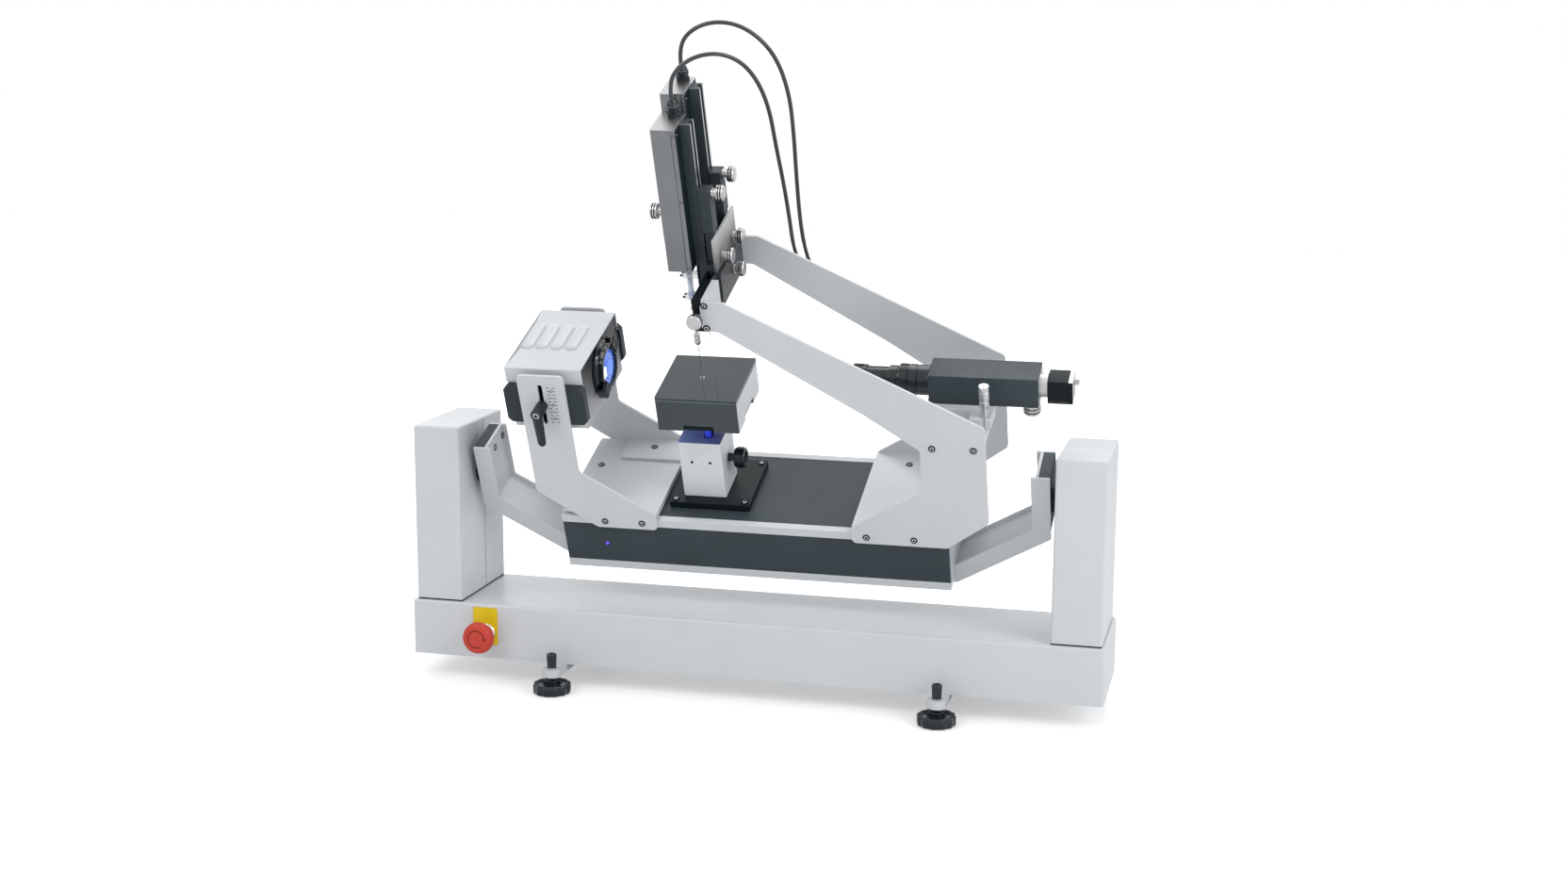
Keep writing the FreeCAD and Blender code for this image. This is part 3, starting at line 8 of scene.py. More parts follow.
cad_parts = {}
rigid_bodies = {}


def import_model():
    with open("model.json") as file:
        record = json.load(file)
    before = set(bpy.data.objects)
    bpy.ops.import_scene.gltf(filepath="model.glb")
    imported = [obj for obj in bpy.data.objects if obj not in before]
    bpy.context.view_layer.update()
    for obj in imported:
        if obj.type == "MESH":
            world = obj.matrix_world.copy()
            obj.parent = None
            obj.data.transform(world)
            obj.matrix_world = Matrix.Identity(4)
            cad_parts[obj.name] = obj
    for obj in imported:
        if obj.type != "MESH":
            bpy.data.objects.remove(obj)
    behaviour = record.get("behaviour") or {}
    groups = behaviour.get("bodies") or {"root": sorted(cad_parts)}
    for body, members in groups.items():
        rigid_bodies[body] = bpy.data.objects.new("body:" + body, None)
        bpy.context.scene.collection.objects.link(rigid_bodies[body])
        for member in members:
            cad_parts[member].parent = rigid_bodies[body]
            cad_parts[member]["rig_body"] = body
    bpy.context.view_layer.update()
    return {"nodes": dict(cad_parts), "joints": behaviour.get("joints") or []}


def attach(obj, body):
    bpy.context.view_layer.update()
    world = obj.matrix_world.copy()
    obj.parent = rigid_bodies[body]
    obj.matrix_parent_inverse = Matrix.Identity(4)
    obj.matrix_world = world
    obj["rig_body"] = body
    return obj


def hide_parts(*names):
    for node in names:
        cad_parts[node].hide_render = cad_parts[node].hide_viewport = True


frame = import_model()

bl_info = {
    "name": "Surface tensiometer",
    "version": (1, 0, 0),
    "blender": (4, 5, 0),
    "location": "3D View > Sidebar > Tensiometer",
    "description": "Dresses the packed solids of a tilting surface tensiometer",
    "category": "Object",
}

# Lengths are millimetres unless a name says metres. The instrument's pieces are drawn level, with
# the tilt axis at their origin, and level_frame turns them into the packed model's frame. Its points
# are (x, v, w): to the right, to the rear and upwards.
mm = 0.001
merge_gap_m = 2e-6
flat_angle = math.radians(1.0)
sharp_angle = math.radians(32.0)
round_angle = math.radians(50.0)
crown_angle = math.radians(70.0)
quarter_turn = math.pi / 2
full_turn = 2 * math.pi
unmoved = Matrix.Identity(4)

rightwards, leftwards = (1.0, 0.0, 0.0), (-1.0, 0.0, 0.0)
forwards, upwards, downwards = (0.0, -1.0, 0.0), (0.0, 0.0, 1.0), (0.0, 0.0, -1.0)

# The front drive's needle, whose V is also that of the optics, and the rear drive's place from it.
needle_x, needle_v = -65.5, 24.0
rear_v, rear_w = 49.0, 21.6


def joint_named(name):
    return next(joint for joint in frame["joints"] if joint["name"] == name)


level_up = Vector(joint_named("lamp_height")["axis"])
tilt_now = math.atan2(-level_up.y, level_up.z)
pivot_m = Vector(joint_named("tilt")["pos_m"])
stand_frame = Matrix.Scale(mm, 4)
level_frame = Matrix.Translation(pivot_m) @ Matrix.Rotation(tilt_now, 4, "X") @ stand_frame


def node_box(node, space=level_frame):
    """Lowest and highest corner of a CAD node in millimetres, in the level instrument or the stand."""
    back = space.inverted()
    points = [back @ vertex.co for vertex in frame["nodes"][node].data.vertices]
    return (Vector(min(point[k] for point in points) for k in range(3)),
            Vector(max(point[k] for point in points) for k in range(3)))


def body_of(node):
    return frame["nodes"][node]["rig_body"]


# Materials


def enabled_socket(sockets, name):
    return next(socket for socket in sockets if socket.enabled and socket.name == name)


class Nodes:
    """Short calls for a material's or a geometry's node tree."""

    def __init__(self, tree):
        self.tree = tree

    def add(self, kind, inputs=None, **settings):
        """A node with its settings, and with each input fed by a value or another node's socket."""
        node = self.tree.nodes.new(kind)
        for name, value in settings.items():
            setattr(node, name, value)
        for key, value in (inputs or {}).items():
            self.feed(node.inputs[key] if isinstance(key, int) else enabled_socket(node.inputs, key), value)
        return node

    def feed(self, socket, value):
        if isinstance(value, bpy.types.NodeSocket):
            self.tree.links.new(value, socket)
        else:
            socket.default_value = value


def new_material(name, values):
    """A fresh node material, its nodes and its shader with plain values on the named sockets."""
    material = bpy.data.materials.new(name)
    material.use_nodes = True
    shader = material.node_tree.nodes["Principled BSDF"]
    for key, value in values.items():
        shader.inputs[key].default_value = value
    return material, Nodes(material.node_tree), shader


def object_noise(nodes, per_metre, detail=3.0, stretch=(1, 1, 1)):
    place = nodes.add("ShaderNodeTexCoord").outputs["Object"]
    mapped = nodes.add("ShaderNodeMapping", {"Vector": place, "Scale": stretch}).outputs["Vector"]
    noise = nodes.add("ShaderNodeTexNoise", {"Vector": mapped, "Scale": per_metre, "Detail": detail})
    return noise.outputs["Fac"]


def ramp_between(nodes, factor, low_colour, high_colour, low=0.3, high=0.7):
    ramp = nodes.add("ShaderNodeValToRGB", {"Fac": factor})
    first, last = ramp.color_ramp.elements
    first.position, first.color = low, (*low_colour, 1)
    last.position, last.color = high, (*high_colour, 1)
    return ramp.outputs["Color"]


def shaded(colour, share):
    return tuple(min(1.0, value * share) for value in colour)


def mottled(nodes, shader, noise, colour, low, high):
    """The base colour wanders between two shares of a colour."""
    nodes.feed(shader.inputs["Base Color"],
               ramp_between(nodes, noise, shaded(colour, low), shaded(colour, high)))


def roughened(nodes, shader, noise, low, high):
    spread = nodes.add("ShaderNodeMapRange", {"Value": noise, "To Min": low, "To Max": high})
    nodes.feed(shader.inputs["Roughness"], spread.outputs["Result"])


def bumped(nodes, shader, noise, strength, depth_m):
    bump = nodes.add("ShaderNodeBump", {"Height": noise, "Strength": strength, "Distance": depth_m})
    nodes.feed(shader.inputs["Normal"], bump.outputs["Normal"])


def coated(name, colour, roughness, grain=900.0, strength=0.25, mottle=0.05, sheen=0.5):
    """Powder coat or moulded plastic: fine orange-peel grain, faint mottling, even sheen."""
    material, nodes, shader = new_material(name, {"Specular IOR Level": sheen})
    mottled(nodes, shader, object_noise(nodes, 14.0, 4.0), colour, 1 - mottle, 1 + mottle)
    roughened(nodes, shader, object_noise(nodes, 60.0), roughness - 0.06, roughness + 0.06)
    bumped(nodes, shader, object_noise(nodes, grain, 2.0), strength, 0.00006)
    return material


def metal(name, colour, roughness, stretch=(1, 1, 1), grain=700.0, strength=0.12):
    """Turned, ground or anodised metal with fine tool marks along the stretched direction."""
    material, nodes, shader = new_material(name, {"Metallic": 1.0})
    mottled(nodes, shader, object_noise(nodes, 25.0), colour, 0.94, 1.03)
    marks = object_noise(nodes, grain, 3.0, stretch)
    roughened(nodes, shader, marks, roughness * 0.8, roughness * 1.25)
    bumped(nodes, shader, marks, strength, 0.00003)
    return material


def painted_gradient(name, low_colour, high_colour, roughness, low, high, along=(0, -0.38268, 0.92388)):
    """A satin sheet whose colour changes along a direction between two places in metres, as painted light: painted
    reflection on the grey sheet and the lamp's side, painted lamp light on the blue plate.
    """
    material, nodes, shader = new_material(name, {"Specular IOR Level": 0.3})
    place = nodes.add("ShaderNodeTexCoord").outputs["Object"]
    height = nodes.add("ShaderNodeVectorMath", {0: place, 1: along}, operation="DOT_PRODUCT").outputs["Value"]
    share = nodes.add("ShaderNodeMapRange", {"Value": height, "From Min": low, "From Max": high})
    nodes.feed(shader.inputs["Base Color"],
               ramp_between(nodes, share.outputs["Result"], low_colour, high_colour, 0.0, 1.0))
    roughened(nodes, shader, object_noise(nodes, 300.0), roughness - 0.05, roughness + 0.05)
    bumped(nodes, shader, object_noise(nodes, 900.0, 2.0), 0.10, 0.00003)
    return material


def glossy(name, colour, roughness, coat=0.0, sheen=0.5):
    """Smooth plastic, glass-like cover or lacquer."""
    material, nodes, shader = new_material(
        name, {"Specular IOR Level": sheen, "Coat Weight": coat, "Coat Roughness": 0.05})
    mottled(nodes, shader, object_noise(nodes, 20.0), colour, 0.92, 1.08)
    roughened(nodes, shader, object_noise(nodes, 150.0), roughness * 0.8, roughness * 1.3)
    bumped(nodes, shader, object_noise(nodes, 400.0, 1.0), 0.05, 0.00002)
    return material


def clear(name, colour, roughness, share):
    """Thin clear plastic or glass: part see-through, part glossy."""
    material, nodes, shader = new_material(name, {"Roughness": roughness, "Alpha": share, "IOR": 1.49})
    mottled(nodes, shader, object_noise(nodes, 40.0, 2.0), colour, 0.95, 1.05)
    bumped(nodes, shader, object_noise(nodes, 300.0, 1.0), 0.05, 0.00002)
    return material


def glowing(name, colour, light, strength):
    """A lit surface under glass; the lens's glint uses it as a painted highlight."""
    material, nodes, shader = new_material(name, {"Roughness": 0.15, "Emission Strength": strength})
    cloud = object_noise(nodes, 60.0, 2.0)
    mottled(nodes, shader, cloud, colour, 0.85, 1.15)
    nodes.feed(shader.inputs["Emission Color"], ramp_between(nodes, cloud, shaded(light, 0.8), light))
    return material


finishes = {}


def make_finishes():
    chosen = bpy.context.scene.tensiometer_finish
    light, dark, black, silver, red = (tuple(colour) for colour in (
        chosen.light_coat, chosen.dark_coat, chosen.black, chosen.silver, chosen.red))
    finishes.update({
        "light_coat": coated("light_powder_coat", light, 0.33, 1100.0, 0.18, 0.02),
        # painted light: the light coat made brighter on the stage column, for the light it catches
        "column_painted_light_coat": coated("powder_coat_painted_light_column", shaded(light, 1.18), 0.33, 1100.0, 0.15, 0.02),
        "dark_coat": coated("dark_powder_coat", dark, 0.45, 1100.0, 0.30, 0.08, 0.22),
        # painted highlight: the dark coat made five times lighter, for the light line along eased edges
        "painted_edge_highlight": coated("painted_highlight_edge_of_dark_coat", shaded(dark, 5.0), 0.35, 1100.0, 0.1, 0.05, 0.4),
        "sink_dark": coated("dark_heat_sink", shaded(dark, 0.75), 0.42, 1100.0, 0.30, 0.08, 0.2),
        "case_grey": metal("grey_satin_case", (0.255, 0.262, 0.27), 0.40, (1, 1, 0.2), 1100.0, 0.05),
        "case_edge": metal("bright_case_edge", (0.42, 0.425, 0.43), 0.35),
        # painted reflection: near black low down and light grey higher up, for the white room mirrored in black
        # plates
        "painted_reflection_grey": painted_gradient("black_sheet_painted_reflection", (0.060, 0.064, 0.068), (0.50, 0.505, 0.51), 0.36, 0.518, 0.557),
        # painted reflection: light grey low down and near black higher up, on the lamp housing's right face
        "housing_painted_reflection": painted_gradient("lamp_side_painted_reflection", (0.50, 0.51, 0.52), (0.035, 0.038, 0.04), 0.34, 0.325, 0.40),
        "black_anodised": coated("black_anodised", black, 0.36, 1500.0, 0.18, 0.12, 0.14),
        "matt_black": coated("matt_black_flank", shaded(black, 1.6), 0.55, 1500.0, 0.1, 0.1, 0.05),
        "black_plastic": coated("black_moulded_plastic", black, 0.32, 500.0, 0.20, 0.15),
        "black_gloss": glossy("black_gloss", black, 0.14, 0.40, 0.35),
        "dark_gloss": glossy("dark_glossy_sheet", tuple(chosen.dark_gloss), 0.03),
        "silver": metal("turned_silver", silver, 0.24, strength=0.03),
        "steel": metal("ground_steel", shaded(silver, 0.85), 0.30, (1, 1, 0.1), strength=0.05),
        "aluminium": metal("satin_aluminium", shaded(silver, 0.95), 0.38),
        "chrome": metal("polished_chrome", (0.70, 0.71, 0.72), 0.07, strength=0.03),
        "rubber": coated("black_rubber", (0.006, 0.007, 0.008), 0.55, 800.0, 0.3, 0.2, 0.1),
        # painted shadow: near black for seams, slots, holes, sockets and gaps where shade falls
        "shadow": coated("painted_recess_shade", (0.004, 0.004, 0.005), 0.7, 600.0, 0.1, 0.1, 0.05),
        "yellow": glossy("yellow_enamel", tuple(chosen.yellow), 0.35, 0.0, 0.2),
        "red": glossy("red_button_plastic", red, 0.36, 0.0, 0.3),
        "deep_red": glossy("red_engraving", shaded(red, 0.42), 0.4, 0.0, 0.2),
        "marking": coated("dark_marking_ink", (0.035, 0.037, 0.04), 0.5, 700.0, 0.1, 0.1, 0.2),
        "lamp_glass": glowing("blue_lamp_glass", (0.05, 0.10, 0.45), tuple(chosen.lamp_light), 0.9),
        # painted highlight: a glowing white glint on the lens
        "painted_lens_glint": glowing("white_lamp_glint", (0.7, 0.8, 1.0), (0.85, 0.92, 1.0), 1.0),
        "lamp_dark": glossy("dark_blue_lens_ring", (0.01, 0.02, 0.10), 0.2, 0.3),
        "power_light": glowing("power_light_lens", (0.10, 0.05, 0.5), (0.22, 0.12, 1.0), 0.7),
        # painted light: the lamp's blue light on the column's top, lighter to the left
        "painted_blue_light_top": painted_gradient("painted_blue_lamp_light", (0.30, 0.45, 1.0), (0.16, 0.18, 0.42), 0.30, -0.088, -0.046,
                          rightwards),
        "blue_guide": glowing("blue_light_guide", (0.03, 0.05, 0.5), (0.04, 0.06, 0.75), 0.42),
        "clear": clear("clear_plastic", (0.80, 0.83, 0.86), 0.08, 0.42),
        "blue_clear": clear("bluish_clear_plastic", (0.42, 0.53, 0.86), 0.10, 0.5),
        "lens_glass": glossy("coated_lens_glass", (0.010, 0.014, 0.030), 0.04, 1.0),
        "cable": glossy("grey_cable_sheath", (0.035, 0.042, 0.048), 0.28, 0.35, 0.4),
        "board": coated("circuit_board", (0.015, 0.10, 0.04), 0.4, 300.0, 0.3, 0.3),
    })


# Mesh building


class Shape:
    """Collects geometry in millimetres and turns it into one finished piece."""

    def __init__(self):
        self.mesh = bmesh.new()

    def add(self, points, faces, place=unmoved, finish=0):
        """Faces between points, with one finish or a list that has one for each face."""
        vertices = [self.mesh.verts.new(place @ Vector(point)) for point in points]
        tags = finish if isinstance(finish, list) else [finish] * len(faces)
        for face, tag in zip(faces, tags):
            self.mesh.faces.new([vertices[k] for k in face]).material_index = tag
        return self

    def spun(self, profile, place, segments=48, finish=0, start=0.0, turn=full_turn):
        """A turned body about Z from (radius, height, finish) points; the finish holds to the next."""
        points, faces, tags, rings = [], [], [], []
        count = segments if turn >= full_turn else segments + 1
        for radius, height, *_ in profile:
            if radius <= 0:
                rings.append([len(points)] * count)
                points.append((0, 0, height))
                continue
            rings.append(list(range(len(points), len(points) + count)))
            angles = [start + turn * k / segments for k in range(count)]
            points += [(radius * math.cos(angle), radius * math.sin(angle), height) for angle in angles]
        for (low, high), (_, _, *tag) in zip(zip(rings, rings[1:]), profile):
            for k in range(segments):
                after = (k + 1) % count
                corners = [low[k], low[after], high[after], high[k]]
                face = [corner for n, corner in enumerate(corners) if corner not in corners[:n]]
                if len(face) > 2:
                    faces.append(face)
                    tags.append(tag[0] if tag else finish)
        return self.add(points, faces, place, tags)

    def skin(self, rings, place=unmoved, capped=(False, False)):
        """A skin over rings of equally many points, with its first and last ring closed or open."""
        count, last = len(rings[0]), (len(rings) - 1) * len(rings[0])
        faces = [(r + k, r + (k + 1) % count, r + count + (k + 1) % count, r + count + k)
                 for r in range(0, last, count) for k in range(count)]
        if capped[0]:
            faces.append(tuple(range(count)))
        if capped[1]:
            faces.append(tuple(reversed(range(last, last + count))))
        return self.add([point for ring in rings for point in ring], faces, place)

    def solid(self, points, faces, edge, finish, place, rim=None):
        """A closed body with its edges rounded, or only those of its two rims where it has rims."""
        start = len(self.mesh.verts)
        self.add(points, faces, place, finish)
        if edge > 0:
            self.mesh.verts.ensure_lookup_table()
            own = self.mesh.verts[start:]
            groups = (set(own[:rim]), set(own[rim:])) if rim else (set(own),)
            lines = [line for line in self.mesh.edges
                     if any(line.verts[0] in group and (not rim or line.verts[1] in group) for group in groups)]
            bmesh.ops.bevel(self.mesh, geom=lines, offset=edge, segments=2, profile=0.5, affect="EDGES",
                            clamp_overlap=True)
        return self

    def block(self, low, high, edge=0.0, finish=0, place=unmoved):
        """A box from corner to corner with its edges rounded."""
        corners = [(x, y, z) for x in (low[0], high[0]) for y in (low[1], high[1]) for z in (low[2], high[2])]
        faces = [(0, 1, 3, 2), (4, 6, 7, 5), (0, 4, 5, 1), (2, 3, 7, 6), (0, 2, 6, 4), (1, 5, 7, 3)]
        return self.solid(corners, faces, edge, finish, place)

    def prism(self, outline, low, high, edge=0.0, finish=0, place=unmoved):
        """An outline in X and Y pulled up from low to high, with its two rims rounded."""
        count = len(outline)
        points = [(x, y, z) for z in (low, high) for x, y in outline]
        faces = [tuple(reversed(range(count))), tuple(range(count, 2 * count))]
        faces += [(k, (k + 1) % count, count + (k + 1) % count, count + k) for k in range(count)]
        return self.solid(points, faces, edge, finish, place, count)

    def baked(self, name):
        data = bpy.data.meshes.new(name)
        self.mesh.to_mesh(data)
        self.mesh.free()
        return data

    def piece(self, name, used, like, whole=False, space=level_frame, angle=sharp_angle):
        """The finished piece, with its normals outwards, on the body of the node it is like."""
        bmesh.ops.recalc_face_normals(self.mesh, faces=self.mesh.faces)
        data = self.baked(name)
        data.transform(space)
        return finished(name, data, used, like, whole, angle)

    def stand_in(self, node, used, space=level_frame, angle=sharp_angle):
        """The finished piece in a CAD node's stead."""
        return self.piece(node + "_dressed", used, node, True, space, angle)


def finished(name, data, used, like, whole=False, angle=sharp_angle):
    """Link a mesh as a piece with its finishes, on the body of the node it is like.

    A whole piece stands for that node. A mesh from a geometry tree has its finishes already, and
    used is None."""
    if used:
        tags = [face.material_index for face in data.polygons]
        data.materials.clear()
        for finish in used:
            data.materials.append(finishes[finish])
        data.polygons.foreach_set("material_index", tags)
    data.shade_smooth()
    data.set_sharp_from_angle(angle=angle)
    piece = bpy.data.objects.new(name, data)
    bpy.context.scene.collection.objects.link(piece)
    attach(piece, body_of(like))
    if whole:
        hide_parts(like)
    return piece


def facing(x, v, w, direction):
    """A place at a point with its Z along a direction."""
    return Matrix.Translation((x, v, w)) @ Vector(direction).to_track_quat("Z", "Y").to_matrix().to_4x4()


def rounded_outline(corners, radius, steps=6):
    """An outline through corners in X and Y, each rounded by an arc."""
    points = []
    for k in range(len(corners)):
        before, here, after = (Vector(corners[(k + n) % len(corners)]) for n in (-1, 0, 1))
        inward, outward = before - here, after - here
        half = inward.angle(outward) / 2
        reach = min(radius / math.tan(half), 0.45 * inward.length, 0.45 * outward.length)
        bend = reach * math.tan(half) / math.sin(half)
        centre = here + (inward.normalized() + outward.normalized()).normalized() * bend
        start = here + inward.normalized() * reach - centre
        end = here + outward.normalized() * reach - centre
        turns = [-start.angle_signed(end) * n / steps for n in range(steps + 1)]
        points += [tuple(centre + Matrix.Rotation(turn, 2) @ start) for turn in turns]
    return points


def circle_outline(radius, sides, phase=0.0):
    turns = [phase + full_turn * k / sides for k in range(sides)]
    return [(radius * math.cos(turn), radius * math.sin(turn)) for turn in turns]


def finer(node, used, edge=0.0, rule=None, edge_finish=-1):
    """A merged copy of a node with eased edges; the rule picks a finish by a face's middle and normal.

    The eased edges take the finish numbered edge_finish, which the pieces use for a painted highlight, or their
    neighbours' if it is -1."""
    copy = Shape()
    copy.mesh.from_mesh(frame["nodes"][node].data)
    bmesh.ops.remove_doubles(copy.mesh, verts=copy.mesh.verts, dist=merge_gap_m)
    bmesh.ops.dissolve_limit(copy.mesh, angle_limit=flat_angle, verts=copy.mesh.verts, edges=copy.mesh.edges)
    if rule:
        back = level_frame.inverted()
        turn = back.to_3x3()
        for face in copy.mesh.faces:
            face.material_index = int(rule(back @ face.calc_center_median(), (turn @ face.normal).normalized()))
    piece = finished(node + "_dressed", copy.baked(node + "_dressed"), used, node, True)
    if edge > 0:
        easing = piece.modifiers.new("eased_edges", "BEVEL")
        easing.width = edge * mm
        easing.segments = 2
        easing.limit_method = "ANGLE"
        easing.angle_limit = sharp_angle
        easing.use_clamp_overlap = True
        easing.harden_normals = True
        easing.material = edge_finish
    return piece


def outer_face(axis, level):
    """The rule for faces that look along an axis, numbered 0 to 2, and lie past a level."""
    return lambda middle, normal: normal[axis] > 0.9 and middle[axis] > level


def coat_node(node, finish):
    """Give a CAD node its finish and leave its mesh as it is."""
    data = frame["nodes"][node].data
    data.materials.clear()
    data.materials.append(finishes[finish])


# Geometry trees


def new_tree(name, kinds):
    """A geometry tree with its named inputs, their identifiers, its nodes and the sockets that give them."""
    tree = bpy.data.node_groups.new(name, "GeometryNodeTree")
    keys = {label: tree.interface.new_socket(label, in_out="INPUT", socket_type="NodeSocket" + kind).identifier
            for label, kind in kinds.items()}
    tree.interface.new_socket("Result", in_out="OUTPUT", socket_type="NodeSocketGeometry")
    nodes = Nodes(tree)
    return tree, keys, nodes, nodes.add("NodeGroupInput").outputs


def grown(data, tree, keys, values):
    """The plain mesh that a geometry tree makes from a mesh, with its inputs set by identifier."""
    holder = bpy.data.objects.new("seed", data)
    bpy.context.scene.collection.objects.link(holder)
    modifier = holder.modifiers.new("growth", "NODES")
    modifier.node_group = tree
    for label, value in values.items():
        modifier[keys[label]] = value
    graph = bpy.context.evaluated_depsgraph_get()
    made = bpy.data.meshes.new_from_object(holder.evaluated_get(graph))
    holder.modifiers.remove(modifier)
    bpy.data.objects.remove(holder)
    return made


def wheel_tree():
    """Scallops a turned wheel: every point past the inner radius moves in by a cosine rule."""
    sizes = dict.fromkeys(("Lobes", "Scallop depth", "Inner radius", "Outer radius"), "Float")
    tree, keys, nodes, given = new_tree("scalloped_wheel", {"Wheel": "Geometry", **sizes, "Finish": "Material"})

    def calculate(operation, *values):
        return nodes.add("ShaderNodeMath", dict(enumerate(values)), operation=operation).outputs[0]

    place = nodes.add("GeometryNodeInputPosition").outputs[0]
    parts = nodes.add("ShaderNodeSeparateXYZ", {0: place}).outputs
    flat = nodes.add("ShaderNodeCombineXYZ", {"X": parts["X"], "Y": parts["Y"]}).outputs[0]
    length = nodes.add("ShaderNodeVectorMath", {0: flat}, operation="LENGTH").outputs["Value"]
    direction = nodes.add("ShaderNodeVectorMath", {0: flat}, operation="NORMALIZE").outputs[0]
    angle = calculate("ARCTAN2", parts["Y"], parts["X"])
    wave = calculate("COSINE", calculate("MULTIPLY", angle, given["Lobes"]))
    hollow = calculate("MULTIPLY", calculate("SUBTRACT", 1.0, wave), 0.5)
    share = nodes.add("ShaderNodeMapRange", {"Value": length, "From Min": given["Inner radius"],
                                             "From Max": given["Outer radius"]}).outputs["Result"]
    inward = calculate("MULTIPLY", calculate("MULTIPLY", hollow, share), given["Scallop depth"])
    offset = nodes.add("ShaderNodeVectorMath", {0: direction, "Scale": calculate("MULTIPLY", inward, -1.0)},
                       operation="SCALE").outputs[0]
    moved = nodes.add("GeometryNodeSetPosition", {"Geometry": given["Wheel"], "Offset": offset}).outputs[0]
    whole = nodes.add("GeometryNodeRealizeInstances", {0: moved}).outputs[0]
    painted = nodes.add("GeometryNodeSetMaterial", {"Geometry": whole, "Material": given["Finish"]}).outputs[0]
    nodes.add("NodeGroupOutput", {0: painted})
    return tree, keys


def repeat_tree(name, labels, build, finish_count):
    """Sets an item on every place, turned by the place's facing and along directions."""
    coats = [f"Finish {k + 1}" for k in range(finish_count)]
    tree, keys, nodes, given = new_tree(
        name, {"Places": "Geometry", **dict.fromkeys(labels, "Float"), **dict.fromkeys(coats, "Material")})
    item = nodes.add("GeometryNodeJoinGeometry")
    for index, geometry in enumerate(build(nodes, given)):
        tagged = nodes.add("GeometryNodeStoreNamedAttribute", {"Name": "part", "Value": index, "Geometry": geometry},
                           data_type="INT", domain="FACE")
        nodes.feed(item.inputs[0], tagged.outputs[0])
    turned = aligned(nodes, "along", "Y", aligned(nodes, "facing", "Z"))
    copies = nodes.add("GeometryNodeInstanceOnPoints",
                       {"Points": given["Places"], "Instance": item.outputs[0], "Rotation": turned}).outputs[0]
    last = nodes.add("GeometryNodeRealizeInstances", {0: copies}).outputs[0]
    for index, coat in enumerate(coats):
        part = nodes.add("GeometryNodeInputNamedAttribute", {"Name": "part"}, data_type="INT")
        same = nodes.add("FunctionNodeCompare", {"A": enabled_socket(part.outputs, "Attribute"), "B": index},
                         data_type="INT", operation="EQUAL").outputs[0]
        last = nodes.add("GeometryNodeSetMaterial",
                         {"Geometry": last, "Selection": same, "Material": given[coat]}).outputs[0]
    nodes.add("NodeGroupOutput", {0: last})
    return tree, keys


def aligned(nodes, attribute, axis, before=None):
    """The turn that brings an axis along a place's direction, on top of the turn before it."""
    direction = nodes.add("GeometryNodeInputNamedAttribute", {"Name": attribute}, data_type="FLOAT_VECTOR")
    turn = nodes.add("FunctionNodeAlignRotationToVector",
                     {"Vector": enabled_socket(direction.outputs, "Attribute")}, axis=axis)
    if before is not None:
        turn.pivot_axis = "Z"
        nodes.feed(turn.inputs["Rotation"], before)
    return turn.outputs[0]


def cylinder_in(nodes, radius, height, sides):
    solid = nodes.add("GeometryNodeMeshCylinder", {"Vertices": sides, "Radius": radius, "Depth": height})
    return solid.outputs["Mesh"]


def screw_parts(nodes, given):
    """A head with its crown, a ring of painted shadow round it and the hexagonal socket, painted as shadow too."""
    sides = 28
    crown = nodes.add("GeometryNodeMeshCone", {
        "Vertices": sides, "Radius Bottom": given["Head radius"], "Radius Top": given["Crown radius"],
        "Depth": given["Crown height"]})
    half = nodes.add("ShaderNodeMath", {0: given["Head depth"], 1: 0.5}, operation="MULTIPLY").outputs[0]
    rise = nodes.add("ShaderNodeCombineXYZ", {"Z": half}).outputs[0]
    lifted = nodes.add("GeometryNodeTransform", {"Geometry": crown.outputs["Mesh"], "Translation": rise})
    head = nodes.add("GeometryNodeJoinGeometry",
                     {0: cylinder_in(nodes, given["Head radius"], given["Head depth"], sides)})
    nodes.feed(head.inputs[0], lifted.outputs[0])
    circle, wire = (nodes.add("GeometryNodeCurvePrimitiveCircle", {"Resolution": points, "Radius": given[size]})
                    for points, size in ((36, "Ring radius"), (8, "Ring thickness")))
    ring = nodes.add("GeometryNodeCurveToMesh", {"Curve": circle.outputs[0], "Profile Curve": wire.outputs[0]})
    socket = cylinder_in(nodes, given["Socket radius"], given["Socket depth"], 6)
    return [head.outputs[0], ring.outputs[0], socket]


def bar_parts(nodes, given):
    size = nodes.add("ShaderNodeCombineXYZ", {"X": given["Width"], "Y": given["Length"], "Z": given["Depth"]})
    return [nodes.add("GeometryNodeMeshCube", {"Size": size.outputs[0]}).outputs["Mesh"]]


repeats = {
    "socket_screws": (("Head radius", "Head depth", "Crown radius", "Crown height", "Ring radius",
                       "Ring thickness", "Socket radius", "Socket depth"), screw_parts, 3),
    "small_bars": (("Width", "Length", "Depth"), bar_parts, 1),
}
trees = {}


def repeated(name, kind, places, like, sizes, used, whole=False):
    """Items of one kind at (point, outward, lengthwise) places, as one piece on one body."""
    labels, build, finish_count = repeats[kind]
    if kind not in trees:
        trees[kind] = repeat_tree(kind, labels, build, finish_count)
    values = dict(zip(labels, sizes))
    values.update({f"Finish {k + 1}": finishes[finish] for k, finish in enumerate(used)})
    seeds = bpy.data.meshes.new(name + "_places")
    seeds.from_pydata([tuple(point) for point, *_ in places], [], [])
    for attribute, index in (("facing", 1), ("along", 2)):
        layer = seeds.attributes.new(attribute, "FLOAT_VECTOR", "POINT")
        layer.data.foreach_set("vector", [value for place in places for value in place[index]])
    data = grown(seeds, *trees[kind], values)
    data.name = name
    data.transform(level_frame)
    return finished(name, data, None, like, whole)


